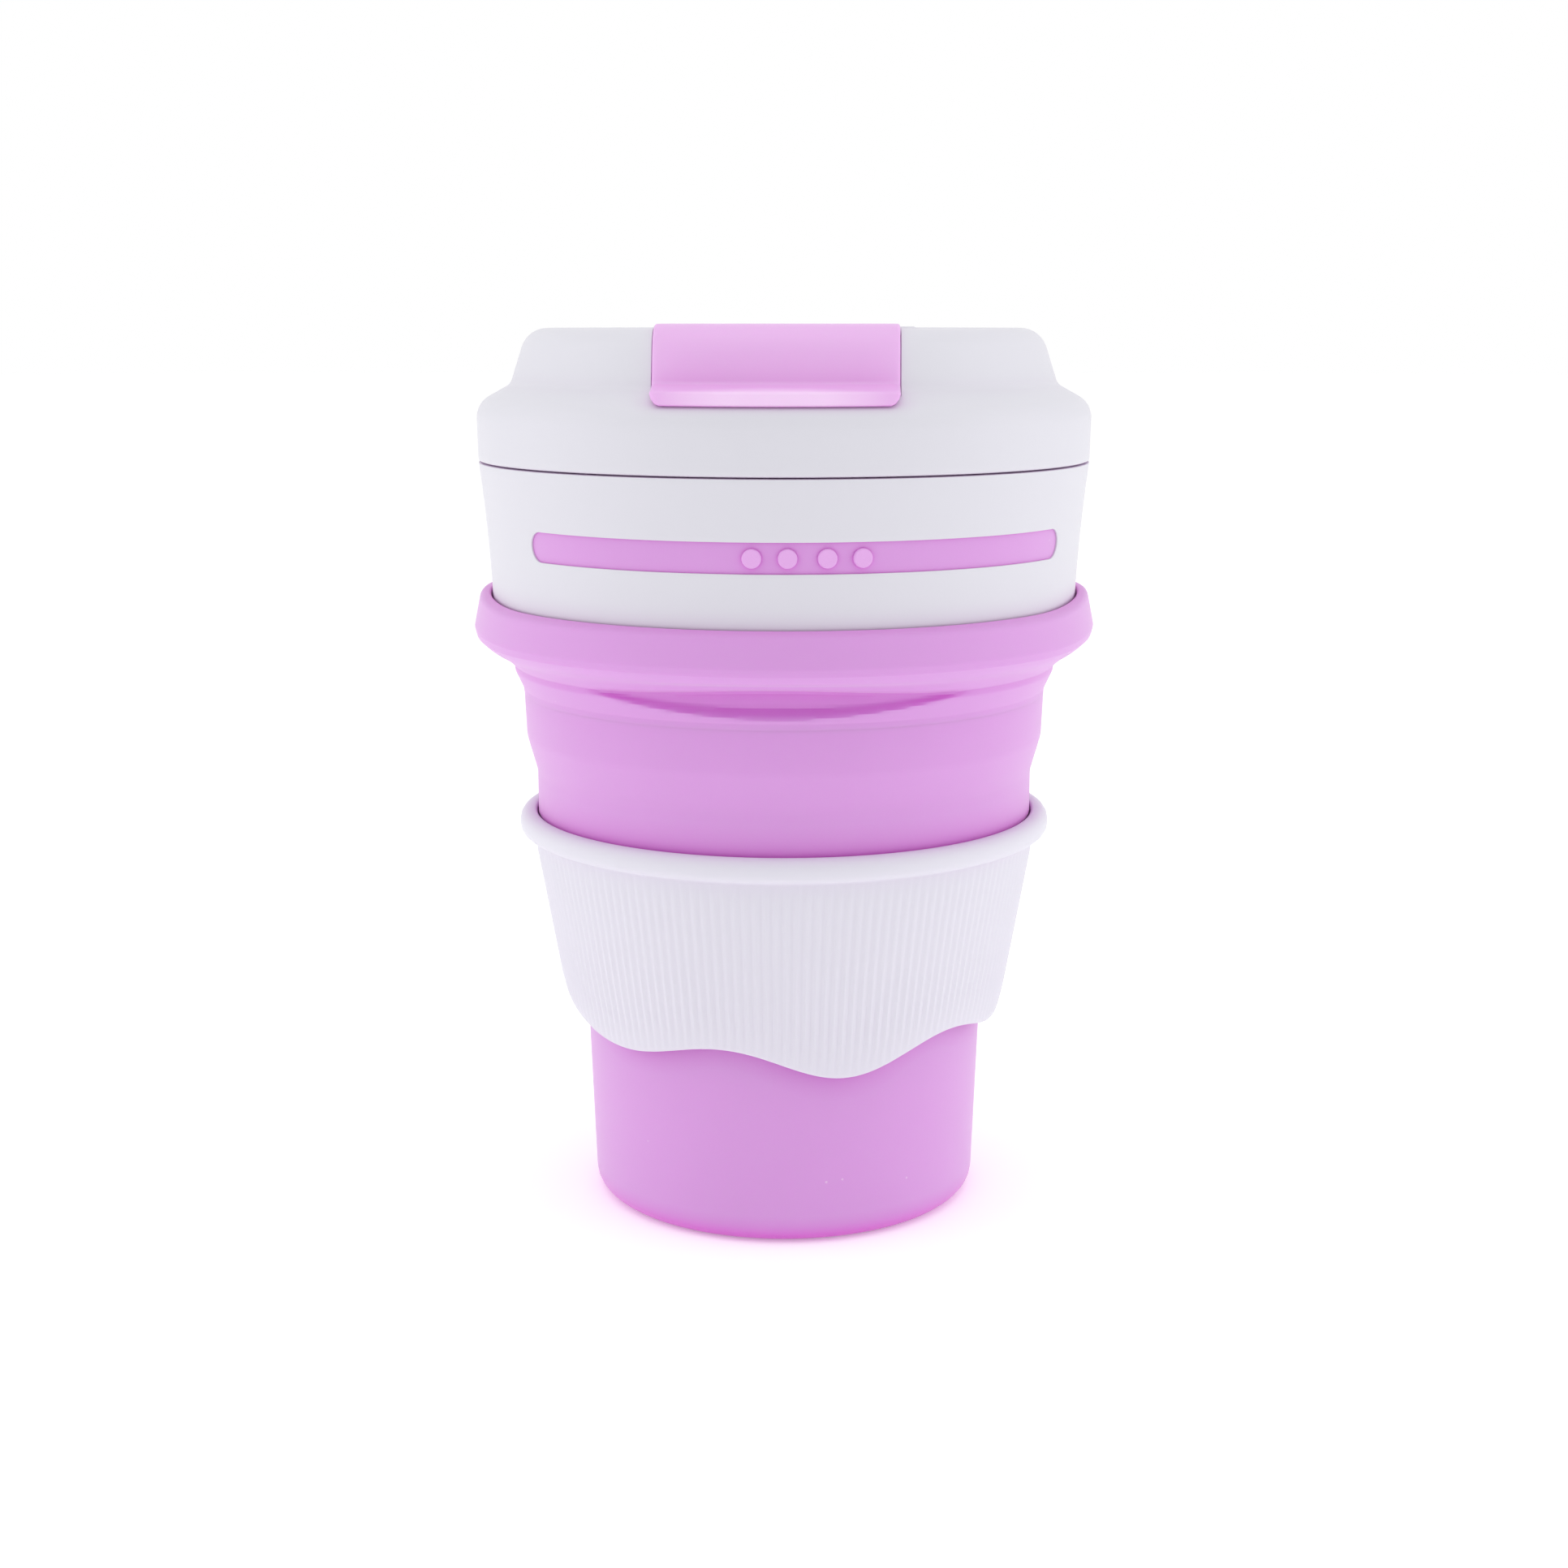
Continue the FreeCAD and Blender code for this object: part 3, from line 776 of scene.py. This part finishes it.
@dataclass
class Collar:
    """The rigid white collar with its slot, and the stripe with four studs that fills it."""

    wall: float = 1.8 * MM
    draft: float = 1.66 * MM
    centre: float = math.radians(5.85)
    half_angle: float = math.radians(54.0)
    slot_half: float = 2.1 * MM
    slot_rise: float = 10.25 * MM
    recess: float = 0.25 * MM
    slot_round: float = 0.14 * MM
    edge_rise: float = 0.35 * MM
    stud_radius: float = 1.3 * MM
    stud_height: float = 0.55 * MM
    stud_azimuths: tuple[float, ...] = (-3.9, 2.3, 9.2, 15.4)
    straight_columns: int = 72
    cap_columns: int = 12
    rear_columns: int = 140
    rows: int = 10

    def __post_init__(self) -> None:
        """Reads the collar's place from the frame."""
        low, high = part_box("collar")
        self.low, self.high = low.z, high.z + self.edge_rise
        self.top_radius = high.x
        self.foot_radius = high.x - self.draft
        self.middle = self.low + self.slot_rise

    def radius_at(self, height: float) -> float:
        """Outer radius at a height: a gentle flare from foot to top."""
        share = (height - self.low) / (self.high - self.low)
        return self.foot_radius + (self.top_radius - self.foot_radius) * (0.45 * share + 0.55 * share ** 2)

    def columns(self) -> list[float]:
        """Azimuths of the mesh columns, closer together in the slot's round ends."""
        end = self.slot_half / self.radius_at(self.middle)
        straight, round_end, rear = self.straight_columns, self.cap_columns, self.rear_columns
        inside = [self.half_angle * (2 * step / straight - 1) for step in range(straight + 1)]
        cap = [self.half_angle + end * math.sin(math.pi / 2 * step / round_end)
               for step in range(1, round_end + 1)]
        rest = TURN - 2 * (self.half_angle + end)
        behind = [self.half_angle + end + rest * step / rear for step in range(1, rear)]
        return [-angle for angle in reversed(cap)] + inside + cap + behind

    def slot_reach(self, azimuth: float) -> float:
        """Half the slot's height at an azimuth measured from the slot's middle."""
        past = (abs(azimuth) - self.half_angle) * self.radius_at(self.middle) / self.slot_half
        if past <= 0:
            return self.slot_half
        return self.slot_half * math.sqrt(max(0.0, 1 - past * past))

    def band(self, bm: bmesh.types.BMesh, edge: float) -> None:
        """One skin of the collar from the slot's edge to the collar's own edge.

        Args:
            bm: the mesh to add to.
            edge: height of the collar's edge.
        """
        columns, rows = self.columns(), self.rows
        side = 1 if edge > self.middle else -1
        grid = bmesh.ops.create_grid(bm, x_segments=len(columns), y_segments=rows, size=0.5)["verts"]
        for vert in grid:
            number = round((vert.co.x + 0.5) * len(columns))
            share = round((vert.co.y + 0.5) * rows) / rows
            azimuth = columns[number % len(columns)]
            start = self.middle + side * self.slot_reach(azimuth if azimuth < math.pi else azimuth - TURN)
            height = start + (edge - start) * share
            vert.co = on_ring(self.radius_at(height), azimuth + self.centre, height)

    def build(self) -> None:
        """Makes the collar and the stripe."""
        bm = bmesh.new()
        self.band(bm, self.high)
        self.band(bm, self.low)
        outward_wall(tidy(bm, GRID_WELD), self.wall)
        round_edges(bm, self.slot_round, 3)
        piece = make_object("collar_ring", bm)
        dress(piece, WHITE_PLASTIC, ["collar"])
        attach(piece, "rim")
        self.stripe()

    def stripe(self) -> None:
        """The inlaid stripe, and its four domed studs."""
        bm = bmesh.new()
        columns = [azimuth for azimuth in self.columns() if abs(azimuth) < math.radians(60)]
        across, rows = len(columns) - 1, self.rows
        for vert in bmesh.ops.create_grid(bm, x_segments=across, y_segments=rows, size=0.5)["verts"]:
            azimuth = columns[round((vert.co.x + 0.5) * across)]
            reach = self.slot_reach(azimuth)
            height = self.middle + 2 * vert.co.y * reach
            vert.co = on_ring(self.radius_at(height) - self.recess, azimuth + self.centre, height)
        outward_wall(tidy(bm, GRID_WELD), self.wall - self.recess)
        piece = make_object("accent_stripe_inlay", bm)
        dress(piece, LILAC_SILICONE, ["accent_stripe"])
        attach(piece, "rim")
        studs = bmesh.new()
        for azimuth in self.stud_azimuths:
            self.stud(studs, math.radians(azimuth))
        buttons = make_object("accent_studs", studs)
        # The studs' paler finish is a painted highlight on the same silicone.
        dress(buttons, LILAC_STUD_PAINTED_LIT, ["accent_stripe"])
        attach(buttons, "rim")

    def stud(self, bm: bmesh.types.BMesh, azimuth: float) -> None:
        """A low round stud with a softened edge and a faint raised rim."""
        seat = self.radius_at(self.middle) - self.recess
        top = self.stud_height / MM
        radius = self.stud_radius / MM
        outline = Outline(corners((0, top - 0.08), (radius - 0.45, top - 0.05, 0.2), (radius, top, 0.25),
                                  (radius, -0.4), (0, -0.4)), closed=False, run=0.3 * MM)
        button = lathe(outline, 40)
        away = on_ring(1.0, azimuth, 0)
        place = Matrix.Translation(away * seat + Vector((0, 0, self.middle)))
        turn = away.to_track_quat("Z", "Y").to_matrix().to_4x4()
        bmesh.ops.transform(button, matrix=place @ turn, verts=button.verts)
        absorb(bm, button)


@dataclass
class Lid:
    """The press-on lid: crown, recessed deck, platform with the sip hole, ears and plug wall."""

    wall: float = 1.8
    skirt_lap: float = 0.3
    height: float = 18.9
    deck_drop: float = 3.5
    deck_edge: float = 31.2
    crown_inner: float = 33.0
    crown_outer: float = 37.32
    shoulder_foot: float = 39.93
    shoulder_rise: float = 2.77
    shoulder_drop: float = 10.72
    plug_outer: float = 40.75
    plug_inner: float = 39.25
    sink: float = 2.3
    platform_start: float = 27.3
    slot_half: float = 16.5
    ear_thickness: float = 2.8
    ear_radius: float = 1.6
    vent_radius: float = 0.8
    vent_place: float = 20.0

    def __post_init__(self) -> None:
        """Reads the lid's place from the frame."""
        low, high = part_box("lid_shell")
        self.plug_low = low.z / MM
        self.radius = high.x / MM
        self.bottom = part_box("cup_rim")[1].z / MM - self.skirt_lap
        self.top = self.bottom + self.height
        self.deck = self.top - self.deck_drop
        self.shoulder = self.top - self.shoulder_drop
        self.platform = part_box("sip_plug")[1].z / MM - 0.3
        pin_low, pin_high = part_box("tab_hinge_pin")
        self.hinge = 0.5 * (pin_low.z + pin_high.z)
        self.bore = 0.5 * (pin_high.z - pin_low.z)
        sip_low, sip_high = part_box("sip_plug")
        self.sip_y = 0.5 * (sip_low.y + sip_high.y)
        self.sip_radius = 0.5 * (sip_high.y - sip_low.y) + 0.3 * MM
        self.sip_half = sip_high.x + 0.3 * MM - self.sip_radius

    def skins(self) -> tuple[Outline, Outline]:
        """The outlines of the outer skin and of the underside."""
        top, wall, foot = self.top, self.wall, self.shoulder + self.shoulder_rise
        outer = Outline(corners(
            (0, self.deck), (self.deck_edge, self.deck, 1.5), (self.crown_inner, top, 2.0),
            (self.crown_outer, top, 4.0), (self.shoulder_foot, foot, 2.0),
            (self.radius + 0.02, self.shoulder, 3.5), (self.radius - 0.13, self.bottom, 0.4),
            (self.radius - 0.9, self.bottom)), closed=False, run=1.0 * MM, arc_steps=10)
        inner = Outline(corners(
            (self.radius - 0.9, self.bottom), (self.radius - 1.95, self.bottom, 0.3),
            (self.radius - 1.82, self.shoulder - 1.05, 1.7), (self.plug_outer, foot - 2.51, 0.3),
            (self.plug_outer, self.plug_low, 0.6), (self.plug_inner, self.plug_low, 0.4),
            (self.plug_inner, foot - 1.68, 0.1),
            (38.44, foot - 1.23, 0.9), (36.02, top - wall, 2.2), (34.1, top - wall, 0.15),
            (32.3, self.deck - wall, 3.0), (0, self.deck - wall)), closed=False, run=1.0 * MM)
        return outer, inner

    def sunk_skin(self, outline: Outline, half_width: float, platform: float,
                  cover: bool) -> bmesh.types.BMesh:
        """A lathed skin with the tab's slot pressed into its front.

        Args:
            outline: the skin's outline.
            half_width: half the slot's width, in millimetres.
            platform: height of the slot's floor, in millimetres.
            cover: whether this is the outer skin, whose deck rises to the platform.

        Returns:
            The skin.
        """
        bm = lathe(outline, 240)
        widths = (self.slot_half, self.slot_half + self.wall)
        for offset in (side * width for side in (-1, 1) for width in widths):
            plane = Vector((offset * MM, 0, 0))
            bmesh.ops.bisect_plane(bm, geom=bm.verts[:] + bm.edges[:] + bm.faces[:], dist=1e-8,
                                   plane_co=plane, plane_no=(1, 0, 0))
        start = Vector((0, -self.platform_start * MM, 0))
        bmesh.ops.bisect_plane(bm, geom=bm.verts[:] + bm.edges[:] + bm.faces[:], dist=1e-8,
                               plane_co=start, plane_no=(0, 1, 0))
        lowest = (self.shoulder + self.shoulder_rise - 1.8) * MM

        def in_slot(face: bmesh.types.BMFace) -> bool:
            """Whether a face lies where the tab passes."""
            middle = face.calc_center_median()
            radius = math.hypot(middle.x, middle.y)
            in_plug = not cover and 39.0 * MM < radius < 40.9 * MM
            return (abs(middle.x) < half_width * MM and middle.y < start.y
                    and middle.z > lowest and radius < 41.3 * MM and not in_plug)
        chosen = [face for face in bm.faces if in_slot(face)]
        moved = bmesh.ops.extrude_face_region(bm, geom=chosen)["geom"]
        bmesh.ops.delete(bm, geom=chosen, context="FACES")
        for vert in (item for item in moved if isinstance(item, bmesh.types.BMVert)):
            vert.co = self.pressed(vert.co, platform * MM, cover)
        return bm

    def pressed(self, place: Vector, floor: float, cover: bool) -> Vector:
        """Where a point of the lid's skin goes when the tab's slot is pressed in.

        Args:
            place: the point.
            floor: height of the slot's floor, in metres.
            cover: whether it is on the outer skin.

        Returns:
            Its new place.
        """
        radius, azimuth = math.hypot(place.x, place.y), azimuth_of(place)
        foot = (self.shoulder + self.shoulder_rise) * MM
        edge = (self.crown_outer - 2.6) * MM
        if radius < edge:
            return on_ring(radius, azimuth, floor if cover else min(place.z, floor))
        crest, span = (self.top, 4.5) if cover else (self.top - self.wall, 2.7)
        rise = min(max((place.z / MM - crest + span) / span, 0.0), 1.0)
        tilt = math.asin(rise)
        shift = self.sink * MM * smoothstep(foot - 0.9 * MM, foot + 1.0 * MM, place.z)
        return on_ring(radius - 1.03 * shift * math.cos(tilt), azimuth, place.z - shift * math.sin(tilt))

    def build(self) -> None:
        """Makes the shell, carves its openings and adds the ears."""
        outer, inner = self.skins()
        bm = self.sunk_skin(outer, self.slot_half, self.platform, True)
        under = self.sunk_skin(inner, self.slot_half + self.wall, self.platform - self.wall, False)
        absorb(bm, under)
        tidy(bm, SKIN_WELD)
        piece = make_object("lid_cover", bm)
        carve(piece, [("UNION", ear) for ear in self.ears()]
              + [("DIFFERENCE", hole) for hole in self.holes()])
        dress(piece, WHITE_PLASTIC, ["lid_shell"])
        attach(piece, "lid")

    def ears(self) -> list[bmesh.types.BMesh]:
        """The two hinge ears that stand on the deck."""
        found = []
        for side in (-1, 1):
            near = side * self.slot_half * MM
            far = near + side * self.ear_thickness * MM
            ear = cylinder(self.ear_radius * MM, Vector((near, 0, self.hinge)),
                           Vector((far, 0, self.hinge)), 48)
            foot = (self.deck - 0.5 * self.wall) * MM
            for vert in ear.verts:
                if vert.co.z < self.hinge:
                    vert.co.z = foot
                    vert.co.y = math.copysign((self.ear_radius + 0.25) * MM, vert.co.y)
            bmesh.ops.remove_doubles(ear, verts=ear.verts, dist=WELD)
            round_edges(ear, 0.35 * MM, 3)
            found.append(ear)
        return found

    def holes(self) -> list[bmesh.types.BMesh]:
        """The sip hole, the vent and the hinge bores."""
        reach = (self.slot_half + self.ear_thickness + 2) * MM
        return [
            stadium(self.sip_half, self.sip_radius, (self.deck - 3) * MM, (self.top + 1) * MM, self.sip_y),
            cylinder(self.vent_radius * MM, Vector((0, self.vent_place * MM, (self.deck - 3) * MM)),
                     Vector((0, self.vent_place * MM, (self.deck + 1) * MM)), 32),
            cylinder(self.bore, Vector((-reach, 0, self.hinge)), Vector((reach, 0, self.hinge)), 32),
        ]


@dataclass
class FlipTab:
    """The flip tab with its finger lip, its hinge pin and its soft plug."""

    half_width: float = 16.36
    proud: float = 0.6
    thickness: float = 2.6
    barrel: float = 1.8
    side_round: float = 0.7
    lip_corner: float = 1.9
    straight_to: float = 14.0
    wrapped_from: float = 30.0
    columns: int = 36

    def outline(self, lid: Lid) -> Outline:
        """The tab's section on the middle plane, as distance to the front and height."""
        top = lid.top + self.proud
        under = top - self.thickness
        foot = lid.shoulder + lid.shoulder_rise
        sunk = self.thickness - self.proud
        return Outline(corners(
            (-self.barrel, top, 1.7), (lid.crown_outer + self.proud, top, 4.6),
            (lid.shoulder_foot + 0.35, foot + 0.8, 0.9), (lid.shoulder_foot + 4.2, foot - 0.15, 0.45),
            (lid.shoulder_foot + 4.15, foot - 2.2, 0.35), (lid.shoulder_foot, foot + 0.2, 0.4),
            (lid.shoulder_foot - sunk + 0.1, foot + 0.75, 0.4), (lid.crown_outer - 1.35, under, 1.9),
            (self.barrel + 0.5, under, 0.5), (self.barrel - 0.1, top - 3.8, 1.2),
            (-self.barrel, top - 3.8, 1.7)), run=1.0 * MM, arc_steps=8)

    def build(self, lid: Lid) -> None:
        """Makes the tab, the pin and the plug."""
        bm = bmesh.new()
        wire = self.outline(lid).wire(bm)
        edges = [item for item in wire if isinstance(item, bmesh.types.BMEdge)]
        bmesh.ops.contextual_create(bm, geom=edges)
        bmesh.ops.rotate(bm, verts=bm.verts, cent=(0, 0, 0), matrix=Matrix.Rotation(-math.pi / 2, 3, "Z"))
        bmesh.ops.translate(bm, verts=bm.verts, vec=(-self.half_width * MM, 0, 0))
        step = 2 * self.half_width * MM / self.columns
        face = bm.faces[:]
        for column in range(self.columns):
            grown = bmesh.ops.extrude_face_region(bm, geom=face)["geom"]
            if column:
                bmesh.ops.delete(bm, geom=face, context="FACES_ONLY")
            face = [item for item in grown if isinstance(item, bmesh.types.BMFace)]
            moved = [item for item in grown if isinstance(item, bmesh.types.BMVert)]
            bmesh.ops.translate(bm, verts=moved, vec=(step, 0, 0))
        tidy(bm)
        self.soften_sides(bm)
        reshape(bm, self.wrap(lid))
        piece = make_object("flip_tab_body", tidy(bm))
        reach = (self.half_width + 2) * MM
        carve(piece, [("DIFFERENCE", cylinder(lid.bore + 0.06 * MM, Vector((-reach, 0, lid.hinge)),
                                              Vector((reach, 0, lid.hinge)), 32))])
        dress(piece, LILAC_PLASTIC, ["flip_tab"])
        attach(piece, "tab")
        self.pin(lid)
        self.plug(lid)

    def soften_sides(self, bm: bmesh.types.BMesh) -> None:
        """Rounds the edges of both side faces."""
        limit = (self.half_width - 0.01) * MM
        rims = [edge for edge in bm.edges
                if all(abs(vert.co.x) > limit for vert in edge.verts) and len(edge.link_faces) == 2
                and edge.calc_face_angle() > 0.5]
        bmesh.ops.bevel(bm, geom=rims, offset=self.side_round * MM, offset_type="OFFSET", segments=4,
                        profile=0.5, affect="EDGES", material=-1, clamp_overlap=True)

    def wrap(self, lid: Lid) -> Callable[[Vector], Vector]:
        """Bends the straight tab round the lid's front and rounds the lip's corners."""
        low = (lid.shoulder + lid.shoulder_rise - 2.1) * MM
        corner = self.lip_corner * MM

        def move(place: Vector) -> Vector:
            """Moves one vertex."""
            ahead = -place.y
            wide = smoothstep(self.straight_to * MM, self.wrapped_from * MM, ahead)
            radius = max(ahead, self.wrapped_from * MM)
            in_lip = smoothstep((lid.shoulder_foot - 1.0) * MM, (lid.shoulder_foot + 1.0) * MM, ahead)
            rise = max(0.0, corner - max(place.z - low, 0.0))
            narrow = (corner - math.sqrt(max(corner ** 2 - rise ** 2, 0.0))) * in_lip
            x = place.x * (1 - narrow / (self.half_width * MM))
            sag = radius - math.sqrt(radius ** 2 - x ** 2)
            return Vector((x, -(ahead - sag * wide), place.z))
        return move

    def pin(self, lid: Lid) -> None:
        """The hinge pin with chamfered ends."""
        low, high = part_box("tab_hinge_pin")
        bm = cylinder(lid.bore, Vector((low.x, 0, lid.hinge)), Vector((high.x, 0, lid.hinge)), 32)
        round_edges(bm, 0.12 * MM, 2)
        piece = make_object("tab_pin", bm)
        dress(piece, STEEL, ["tab_hinge_pin"])
        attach(piece, "tab_pin_body" if "tab_pin_body" in frame["bodies"] else "lid")

    def plug(self, lid: Lid) -> None:
        """The soft plug, rounded below, that closes the sip hole."""
        low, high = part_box("sip_plug")
        radius = lid.sip_radius - 0.3 * MM
        bm = stadium(lid.sip_half, radius, low.z, high.z + 0.05 * MM, lid.sip_y)
        round_edges(bm, 0.5 * MM, 4)
        piece = make_object("sip_plug_body", bm)
        dress(piece, LILAC_SILICONE, ["sip_plug"])
        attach(piece, "tab")


@dataclass
class GripSleeve:
    """The loose white sleeve: a bead, fine vertical ribs and a wavy hem."""

    ribs: int = 160
    columns_per_rib: int = 4
    rib_height: float = 0.22 * MM
    wall: float = 1.3
    hem_gap: float = 1.735
    bead_width: float = 2.57
    bead_height: float = 3.3
    hem_drop: float = 28.7
    waves: tuple[tuple[int, float, float], ...] = ((1, 2.8, 189.0), (5, 1.3, -15.0), (6, 0.7, -24.0),
                                                   (7, 0.75, -5.0))

    def hem(self, azimuth: float, top: float) -> float:
        """Height of the wavy hem in metres at an azimuth in radians."""
        height = top - self.hem_drop
        for count, size, crest in self.waves:
            height += size * math.cos(count * (azimuth - math.radians(crest)))
        return height * MM

    def build(self) -> None:
        """Makes the sleeve."""
        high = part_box("grip_sleeve")[1]
        top, bead = high.z / MM, high.x / MM
        bore = bead - self.bead_width
        neck, neck_z = bore - 0.95, top - self.bead_height - 0.3
        hem_z = top - self.hem_drop
        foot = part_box("cup_base")[1].x / MM + self.hem_gap
        outline = Outline(corners(
            (foot, hem_z, 0.4), (foot + self.wall, hem_z, 0.5), (neck + self.wall, neck_z, 0.6),
            (bead, top - self.bead_height + 0.1, 1.3), (bead, top, 1.6), (bore, top, 0.5),
            (bore, top - 1.0), (neck, neck_z)), run=2.6 * MM, arc_steps=4)
        bm = lathe(outline, self.ribs * self.columns_per_rib)
        piece = make_object("grip_sleeve_skin", reshape(bm, self.shape(top, hem_z, neck_z, foot, neck)))
        dress(piece, WHITE_SILICONE, ["grip_sleeve"])
        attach(piece, "sleeve")

    def shape(self, top: float, hem_z: float, neck_z: float, foot: float,
              neck: float) -> Callable[[Vector], Vector]:
        """A rule that lowers the hem to its wave and raises the ribs.

        Args:
            top: height of the bead's top, in millimetres.
            hem_z: height of the straight hem that was turned.
            neck_z: height of the foot of the bead.
            foot: inner radius at the straight hem.
            neck: inner radius at the neck.

        Returns:
            The rule.
        """
        slope = (neck - foot) / (neck_z - hem_z)

        def move(place: Vector) -> Vector:
            """Moves one vertex."""
            azimuth = azimuth_of(place)
            radius = math.hypot(place.x, place.y)
            share = min(max((neck_z * MM - place.z) / ((neck_z - hem_z) * MM), 0.0), 1.0)
            drop = (self.hem(azimuth, top) - hem_z * MM) * share
            inner = (foot + slope * (place.z / MM - hem_z)) * MM
            outside = radius > inner + 0.6 * self.wall * MM and place.z < neck_z * MM
            ridge = 0.5 + 0.5 * math.cos(self.ribs * azimuth)
            fade = smoothstep(0.0, 0.05, share) * (1 - smoothstep(0.95, 1.0, share))
            raised = self.rib_height * ridge * fade if outside else 0.0
            return on_ring(radius + drop * slope + raised, azimuth, place.z + drop)
        return move


# ---------------------------------------------------------------- studio
@dataclass
class Studio:
    """Camera, floor and soft light."""

    distance: float = 0.346
    eye: float = 0.1312
    pitch: float = 11.25
    yaw: float = 1.7
    lens: float = 53.3
    tent_sides: float = 0.92
    tent_front: float = 0.5

    def build(self) -> None:
        """Sets up the whole studio."""
        self.camera()
        self.floor()
        self.light("top_softbox", Vector((0.0, -0.25, 1.1)), 1.2, 2.4)
        self.light("left_softbox", Vector((-0.9, -0.1, 0.4)), 0.9, 1.5)
        self.light("right_softbox", Vector((0.9, -0.1, 0.4)), 0.9, 1.5)
        self.world()
        view = bpy.context.scene.view_settings
        view.view_transform = "Standard"
        view.look = "None"

    def camera(self) -> None:
        """A camera level with the lid, looking slightly down."""
        data = bpy.data.cameras.new("camera")
        data.sensor_width = 36.0
        data.lens = self.lens
        data.clip_start = 0.01
        camera = bpy.data.objects.new("camera", data)
        turn = math.radians(self.yaw)
        camera.location = on_ring(self.distance, turn, self.eye)
        camera.rotation_euler = (math.radians(90 - self.pitch), 0, turn)
        bpy.context.scene.collection.objects.link(camera)
        bpy.context.scene.camera = camera

    def floor(self) -> None:
        """A wide pale floor."""
        bm = bmesh.new()
        bmesh.ops.create_circle(bm, cap_ends=True, radius=6.0, segments=64)
        floor = make_object("floor", bm)
        material = bpy.data.materials.new("pale_floor")
        material.use_nodes = True
        shader = material.node_tree.nodes["Principled BSDF"]
        shader.inputs["Base Color"].default_value = (0.95, 0.95, 0.95, 1.0)
        shader.inputs["Roughness"].default_value = 1.0
        shader.inputs["Specular IOR Level"].default_value = 0.0
        shader.inputs["Emission Color"].default_value = (1.0, 1.0, 1.0, 1.0)
        shader.inputs["Emission Strength"].default_value = 0.22
        floor.data.materials.append(material)

    def light(self, name: str, place: Vector, size: float, power: float) -> None:
        """A square softbox that faces the cup.

        Args:
            name: name of the light.
            place: where it stands.
            size: length of its sides.
            power: power in watts.
        """
        data = bpy.data.lights.new(name, "AREA")
        data.size = size
        data.energy = power
        light = bpy.data.objects.new(name, data)
        light.location = place
        light.rotation_euler = (Vector((0, 0, 0.07)) - place).to_track_quat("-Z", "Y").to_euler()
        bpy.context.scene.collection.objects.link(light)

    def world(self) -> None:
        """An even white surround."""
        world = bpy.data.worlds.new("surround")
        world.use_nodes = True
        tree = NodeTree(world.node_tree)
        way = tree.add("TexCoord").outputs["Generated"]
        ahead = tree.add("VectorMath", {0: way, 1: (0.0, -1.0, 0.0)}, operation="DOT_PRODUCT")
        tent = tree.add("MapRange", {"Value": ahead.outputs["Value"], "From Min": 0.1, "From Max": 1.0,
                                     "To Min": self.tent_sides, "To Max": self.tent_front})
        seen = tree.add("Mix", {"Factor": tree.add("LightPath").outputs["Is Camera Ray"],
                                "A": tent.outputs["Result"], "B": 1.0}, data_type="FLOAT")
        background = world.node_tree.nodes["Background"]
        background.inputs["Color"].default_value = (1.0, 1.0, 1.0, 1.0)
        world.node_tree.links.new(seen.outputs["Result"], background.inputs["Strength"])
        bpy.context.scene.world = world


def main() -> None:
    """Builds the cup, piece by piece, and the studio."""
    logging.basicConfig(level=logging.INFO, format="%(name)s: %(message)s")
    Studio().build()
    CupBody().build()
    Collar().build()
    lid = Lid()
    lid.build()
    FlipTab().build(lid)
    GripSleeve().build()


if __name__ == "__main__":
    main()
